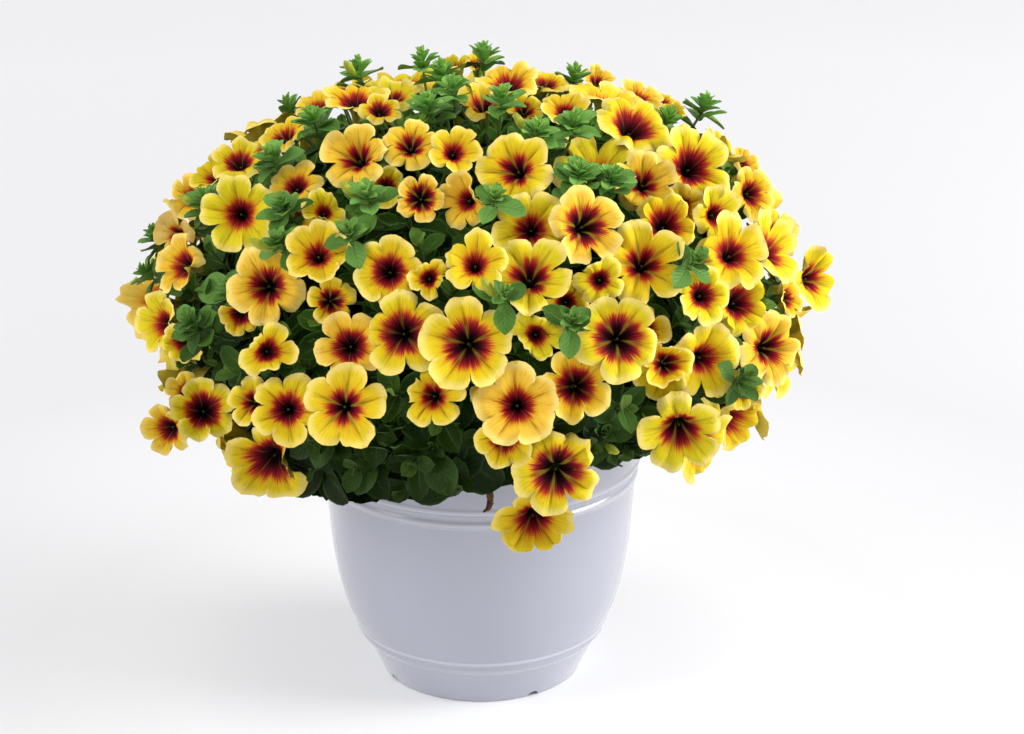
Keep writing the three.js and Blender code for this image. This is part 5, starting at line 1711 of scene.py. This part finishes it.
@dataclass
class Pot:
    """The turned pot, with four notches under its foot, and the mix that fills it."""

    outside: Profile = (
        (0.0645, 0.0),
        (0.0672, 0.0056),
        (0.0766, 0.025),
        (0.0799, 0.0282),
        (0.0813, 0.0305),
        (0.0812, 0.0318),
        (0.0818, 0.0332),
        (0.0831, 0.0348),
        (0.0829, 0.0362),
        (0.0874, 0.047),
        (0.0924, 0.065),
        (0.0962, 0.088),
        (0.0996, 0.1338),
        (0.1008, 0.1352),
        (0.1014, 0.137),
        (0.1009, 0.1386),
        (0.1001, 0.1402),
        (0.1007, 0.1432),
        (0.1024, 0.1444),
        (0.103, 0.146),
        (0.1028, 0.1474),
        (0.1024, 0.149),
        (0.104, 0.165),
        (0.1052, 0.1666),
        (0.1052, 0.17),
    )
    inside: Profile = (
        (0.102, 0.17),
        (0.094, 0.088),
        (0.0852, 0.047),
        (0.0744, 0.025),
        (0.0656, 0.01),
        (0.061, 0.0062),
        (0.0, 0.0062),
    )
    underside: Profile = ((0.0, 0.004), (0.0565, 0.004), (0.0575, 0.0))
    notch_radius: float = 0.0042
    notch_drop: float = 0.0006
    notch_turns: tuple[float, ...] = (-150.0, -60.0, 30.0, 120.0)
    notch_steps: tuple[float, ...] = (1.02, 1.0, 0.985, 0.95, 0.87, 0.72, 0.5, 0.25)
    notch_margin: float = 0.01
    foot_radius: float = 0.0645
    foot_band: tuple[float, float] = (0.056, 0.068)
    foot_slope: float = 0.48
    mix_profile: Profile = (
        (0.0, 0.0068),
        (0.0602, 0.0068),
        (0.0738, 0.025),
        (0.0932, 0.088),
        (0.0993, 0.1485),
        (0.085, 0.1492),
        (0.062, 0.1512),
        (0.04, 0.152),
        (0.02, 0.1525),
        (0.0, 0.1527),
    )
    crumb_depth: float = 0.0012
    crumb_heights: tuple[float, float] = (0.1484, 0.149)
    crumb_reach: tuple[float, float] = (0.098, 0.09)

    def shell(self) -> bpy.types.Object:
        """Turn the wall, with each corner eased, and lift the foot over the round notches.

        A notch lifts the foot at a distance x from its middle to the height of a circle, sqrt(r^2 - x^2),
        less its drop. Columns crowd at a notch's edges, where the circle is steep.
        """
        profile = eased(np.array(self.underside + self.outside + self.inside))
        steps = self.notch_radius * np.array(self.notch_steps)
        steps = np.concatenate([-steps, [0.0], steps]) / self.foot_radius
        middles = np.radians(self.notch_turns)

        def away(turns: np.ndarray) -> np.ndarray:
            return np.abs((turns[:, None] - middles + math.pi) % FULL_TURN - math.pi).min(axis=1)

        near = (middles[:, None] + steps).reshape(-1) % FULL_TURN
        even = even_turns(LATHE_COLUMNS)
        turns = np.sort(np.concatenate([even[away(even) > steps.max() + self.notch_margin], near]))
        aside = away(turns) * self.foot_radius
        top = np.sqrt(np.maximum(self.notch_radius**2 - aside**2, 0.0)) - self.notch_drop
        radius, height = profile[:, 0][None], profile[:, 1][None]
        foot = (radius > self.foot_band[0]) & (radius < self.foot_band[1])
        lifted = np.where(foot, np.maximum(height, top[:, None]), height)
        outer = radius > self.foot_radius - 0.0001
        radius = radius + np.where(outer, (lifted - height) * self.foot_slope, 0.0)
        return lathe("grower_pot", turns, radius, lifted, 0.5, PotPlastic().make())

    def mix(self) -> bpy.types.Object:
        """Turn the potting mix and roughen its top with crossing waves."""
        profile = eased(np.array(self.mix_profile))
        turns = even_turns(LATHE_COLUMNS)
        radius, height = profile[:, 0][None], profile[:, 1][None]
        waves = np.sin(31 * turns[:, None] + 900 * radius) * np.sin(17 * turns[:, None] - 700 * radius)
        top = smooth(height, *self.crumb_heights) * smooth(radius, *self.crumb_reach)
        rough = height - self.crumb_depth * (1.0 + waves) * top
        return lathe("potting_mix_top", turns, radius, rough, 0.5, PottingMix().make())

    def build(self) -> None:
        """Make the pot and its filling, and let them stand for their solids."""
        dress(self.shell(), "pot_plastic", "pot")
        dress(self.mix(), "potting_mix", "soil")


@dataclass
class SpentBloom:
    """The one brown bloom that hangs limp in front of the rim: a shrivelled, twisted bag on a thin stalk."""

    finishes: list[bpy.types.Material]
    path: tuple[Place, ...] = (
        (0.0035, -0.116, 0.19),
        (0.0034, -0.1176, 0.177),
        (0.0042, -0.117, 0.1705),
        (0.0052, -0.1166, 0.1655),
        (0.0058, -0.1163, 0.16),
        (0.0046, -0.1158, 0.1558),
        (0.0016, -0.1154, 0.1532),
    )
    radii: tuple[float, ...] = (0.0009, 0.0012, 0.0026, 0.0014, 0.0025, 0.0024, 0.0007)
    sides: int = 20
    rings: int = 26
    crease: float = 0.42
    twist: float = 7.0
    sepals: int = 5

    def build(self) -> None:
        """Carry creased circles along the path: the radius dips along five folds that wind down the bag."""
        share = np.linspace(0.0, 1.0, self.rings)[:, None]
        radius = np.interp(share, np.linspace(0, 1, len(self.radii)), self.radii)
        folds = np.abs(np.sin(0.5 * PETALS * even_turns(self.sides) + self.twist * share))
        creases = 1.0 - self.crease * smooth(share, 0.2, 0.4) * folds
        draft = Draft()
        path = curve_through(np.array(self.path), self.rings)
        draft.add_tube(path, radius * creases, self.sides, 0.5, Skin.DRY)
        order = np.arange(self.sepals)
        leaves = LeafSet.grow(
            root=np.repeat(np.array(self.path[2])[None], self.sepals, axis=0),
            axis=np.repeat(-UP[None], self.sepals, axis=0),
            turn=even_turns(self.sepals),
            spread=0.5 + 0.25 * (order % 2),
            length=0.0062 - 0.0012 * (order % 3 == 1),
            slimness=0.3,
            rounding=0.0,
            tone=np.full((self.sepals, 4), 0.5),
        )
        LeafForm().add(draft, leaves, Skin.DRY)
        dress(draft.build("spent_bloom", self.finishes), "wilted_petal", "wilted_bloom")


@dataclass
class Studio:
    """A pale floor that curves up behind, painted lighter and glowing near the pot, soft lights and the
    photograph's view.
    """

    eye: Place = (0.0, -1.432, 0.716)
    pitch: float = 19.69
    roll: float = -0.41
    focal_pixels: float = 2400.0
    axis_pixel: float = 479.6
    sensor: float = 36.0
    # Painted light: the paper's colour changes with distance from the pot, lighter close to it, where it
    # lifts the plant's shadow.
    paper: tuple[tuple[float, Colour], ...] = (
        (0.05, (0.73, 0.73, 0.735)),
        (0.1, (0.71, 0.71, 0.72)),
        (0.15, (0.6, 0.6, 0.61)),
        (0.3, (0.5, 0.5, 0.51)),
        (0.95, (0.64, 0.64, 0.65)),
    )
    paper_span: float = 2.0
    # Painted light: the floor glows a little everywhere but under the pot's foot.
    painted_floor_glow: float = 0.27
    covered: tuple[float, float] = (0.0625, 0.066)
    floor_rings: tuple[float, ...] = (0.02, 0.5, 1.2)
    dish_radius: float = 2.0
    bend_radius: float = 3.0
    bend_steps: int = 24
    lights: tuple[tuple[str, Place, float, float], ...] = (
        ("key", (2.6, -0.35, 1.25), 1.5, 74.0),
        ("side", (-2.4, -0.9, 1.5), 1.4, 26.0),
        ("top", (0.2, -0.5, 2.8), 2.2, 18.0),
    )
    aim: Place = (0.0, 0.0, 0.2)
    world_colour: Colour = (0.99, 0.99, 1.02)
    world_strength: float = 0.61

    def camera(self) -> None:
        """Stand the camera where the photograph was taken from."""
        data = bpy.data.cameras.new("view")
        data.sensor_width = self.sensor
        data.lens = self.focal_pixels / IMAGE_WIDTH * self.sensor
        data.shift_x = (0.5 * IMAGE_WIDTH - self.axis_pixel) / IMAGE_WIDTH
        data.clip_end = 50.0
        camera = linked(bpy.data.objects.new("view", data))
        camera.location = self.eye
        tilt = Matrix.Rotation(math.radians(90.0 - self.pitch), 3, "X")
        camera.rotation_euler = (tilt @ Matrix.Rotation(math.radians(self.roll), 3, "Z")).to_euler()
        bpy.context.scene.camera = camera

    def paper_white(self) -> bpy.types.Material:
        """Paint light into the paper: lighter near the pot, where the plant's shadow falls, with a faint
        painted glow that stops under its foot.
        """
        make = Recipe("paper_white")
        x, y, _ = make.split(make.place())
        away = make.math("SQRT", x * x + y * y)
        # Painted light: a colour lightened near the pot, and a glow on the floor.
        return make.finish(
            Base_Color=make.ramp(away * (1.0 / self.paper_span), self.paper),
            Roughness=0.85,
            Specular_IOR_Level=0.1,
            Emission_Color=(1.0, 1.0, 1.0, 1.0),
            Emission_Strength=away.ease(*self.covered) * self.painted_floor_glow,
        )

    def backdrop(self) -> None:
        """Turn a round floor that curves up into a wall on every side."""
        bends = np.linspace(0.0, 0.5 * math.pi, self.bend_steps)
        radius = np.concatenate([self.floor_rings, self.dish_radius + self.bend_radius * np.sin(bends)])
        height = np.concatenate([np.zeros(len(self.floor_rings)), self.bend_radius * (1.0 - np.cos(bends))])
        rows = len(radius)
        points = turned(even_turns(LATHE_COLUMNS)[:, None], radius, height)
        quads = grid_quads(LATHE_COLUMNS, rows, True)[:, ::-1].tolist()
        middle = [number * rows for number in range(LATHE_COLUMNS)]
        mesh = bpy.data.meshes.new("backdrop")
        mesh.from_pydata(points.reshape(-1, 3).tolist(), [], quads + [middle])
        mesh.shade_smooth()
        mesh.materials.append(self.paper_white())
        piece = linked(bpy.data.objects.new("backdrop", mesh))

    def light(self, name: str, place: Place, size: float, power: float) -> None:
        """Hang a soft square light that looks at the middle of the plant."""
        data = bpy.data.lights.new(name, "AREA")
        data.size = size
        data.energy = power
        lamp = linked(bpy.data.objects.new(name, data))
        lamp.location = place
        lamp.rotation_euler = (Vector(self.aim) - Vector(place)).to_track_quat("-Z", "Y").to_euler()

    def build(self) -> None:
        """Set the stage."""
        self.camera()
        self.backdrop()
        for light in self.lights:
            self.light(*light)
        world = bpy.data.worlds.new("soft_room")
        world.use_nodes = True
        back = world.node_tree.nodes["Background"]
        back.inputs["Color"].default_value = (*self.world_colour, 1.0)
        back.inputs["Strength"].default_value = self.world_strength
        bpy.context.scene.world = world
        bpy.context.scene.view_settings.view_transform = "Standard"


def main() -> None:
    """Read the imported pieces, grow a fine surface through each and set the stage."""
    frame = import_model()
    Studio().build()
    reader = CageReader()
    sprays: dict[str, list[Bloom]] = {}
    order = 0
    for name in sorted(frame["nodes"]):
        if name.startswith("bloom_spray"):
            sprays[name] = reader.blooms(WeldedSolid(frame["nodes"][name]), order)
            order += len(sprays[name])
    shoots = reader.shoots(WeldedSolid(frame["nodes"]["foliage"]))
    log.info("%d blooms and %d shoots read", order, len(shoots))
    finishes = plant_finishes()
    room = BloomRoom([bloom for blooms in sprays.values() for bloom in blooms])
    Pot().build()
    Trumpets(finishes).build(sprays)
    Greenery(finishes, room).build(shoots)
    SpentBloom(finishes).build()


if __name__ == "__main__":
    logging.basicConfig(level=logging.INFO, format="%(message)s")
    main()
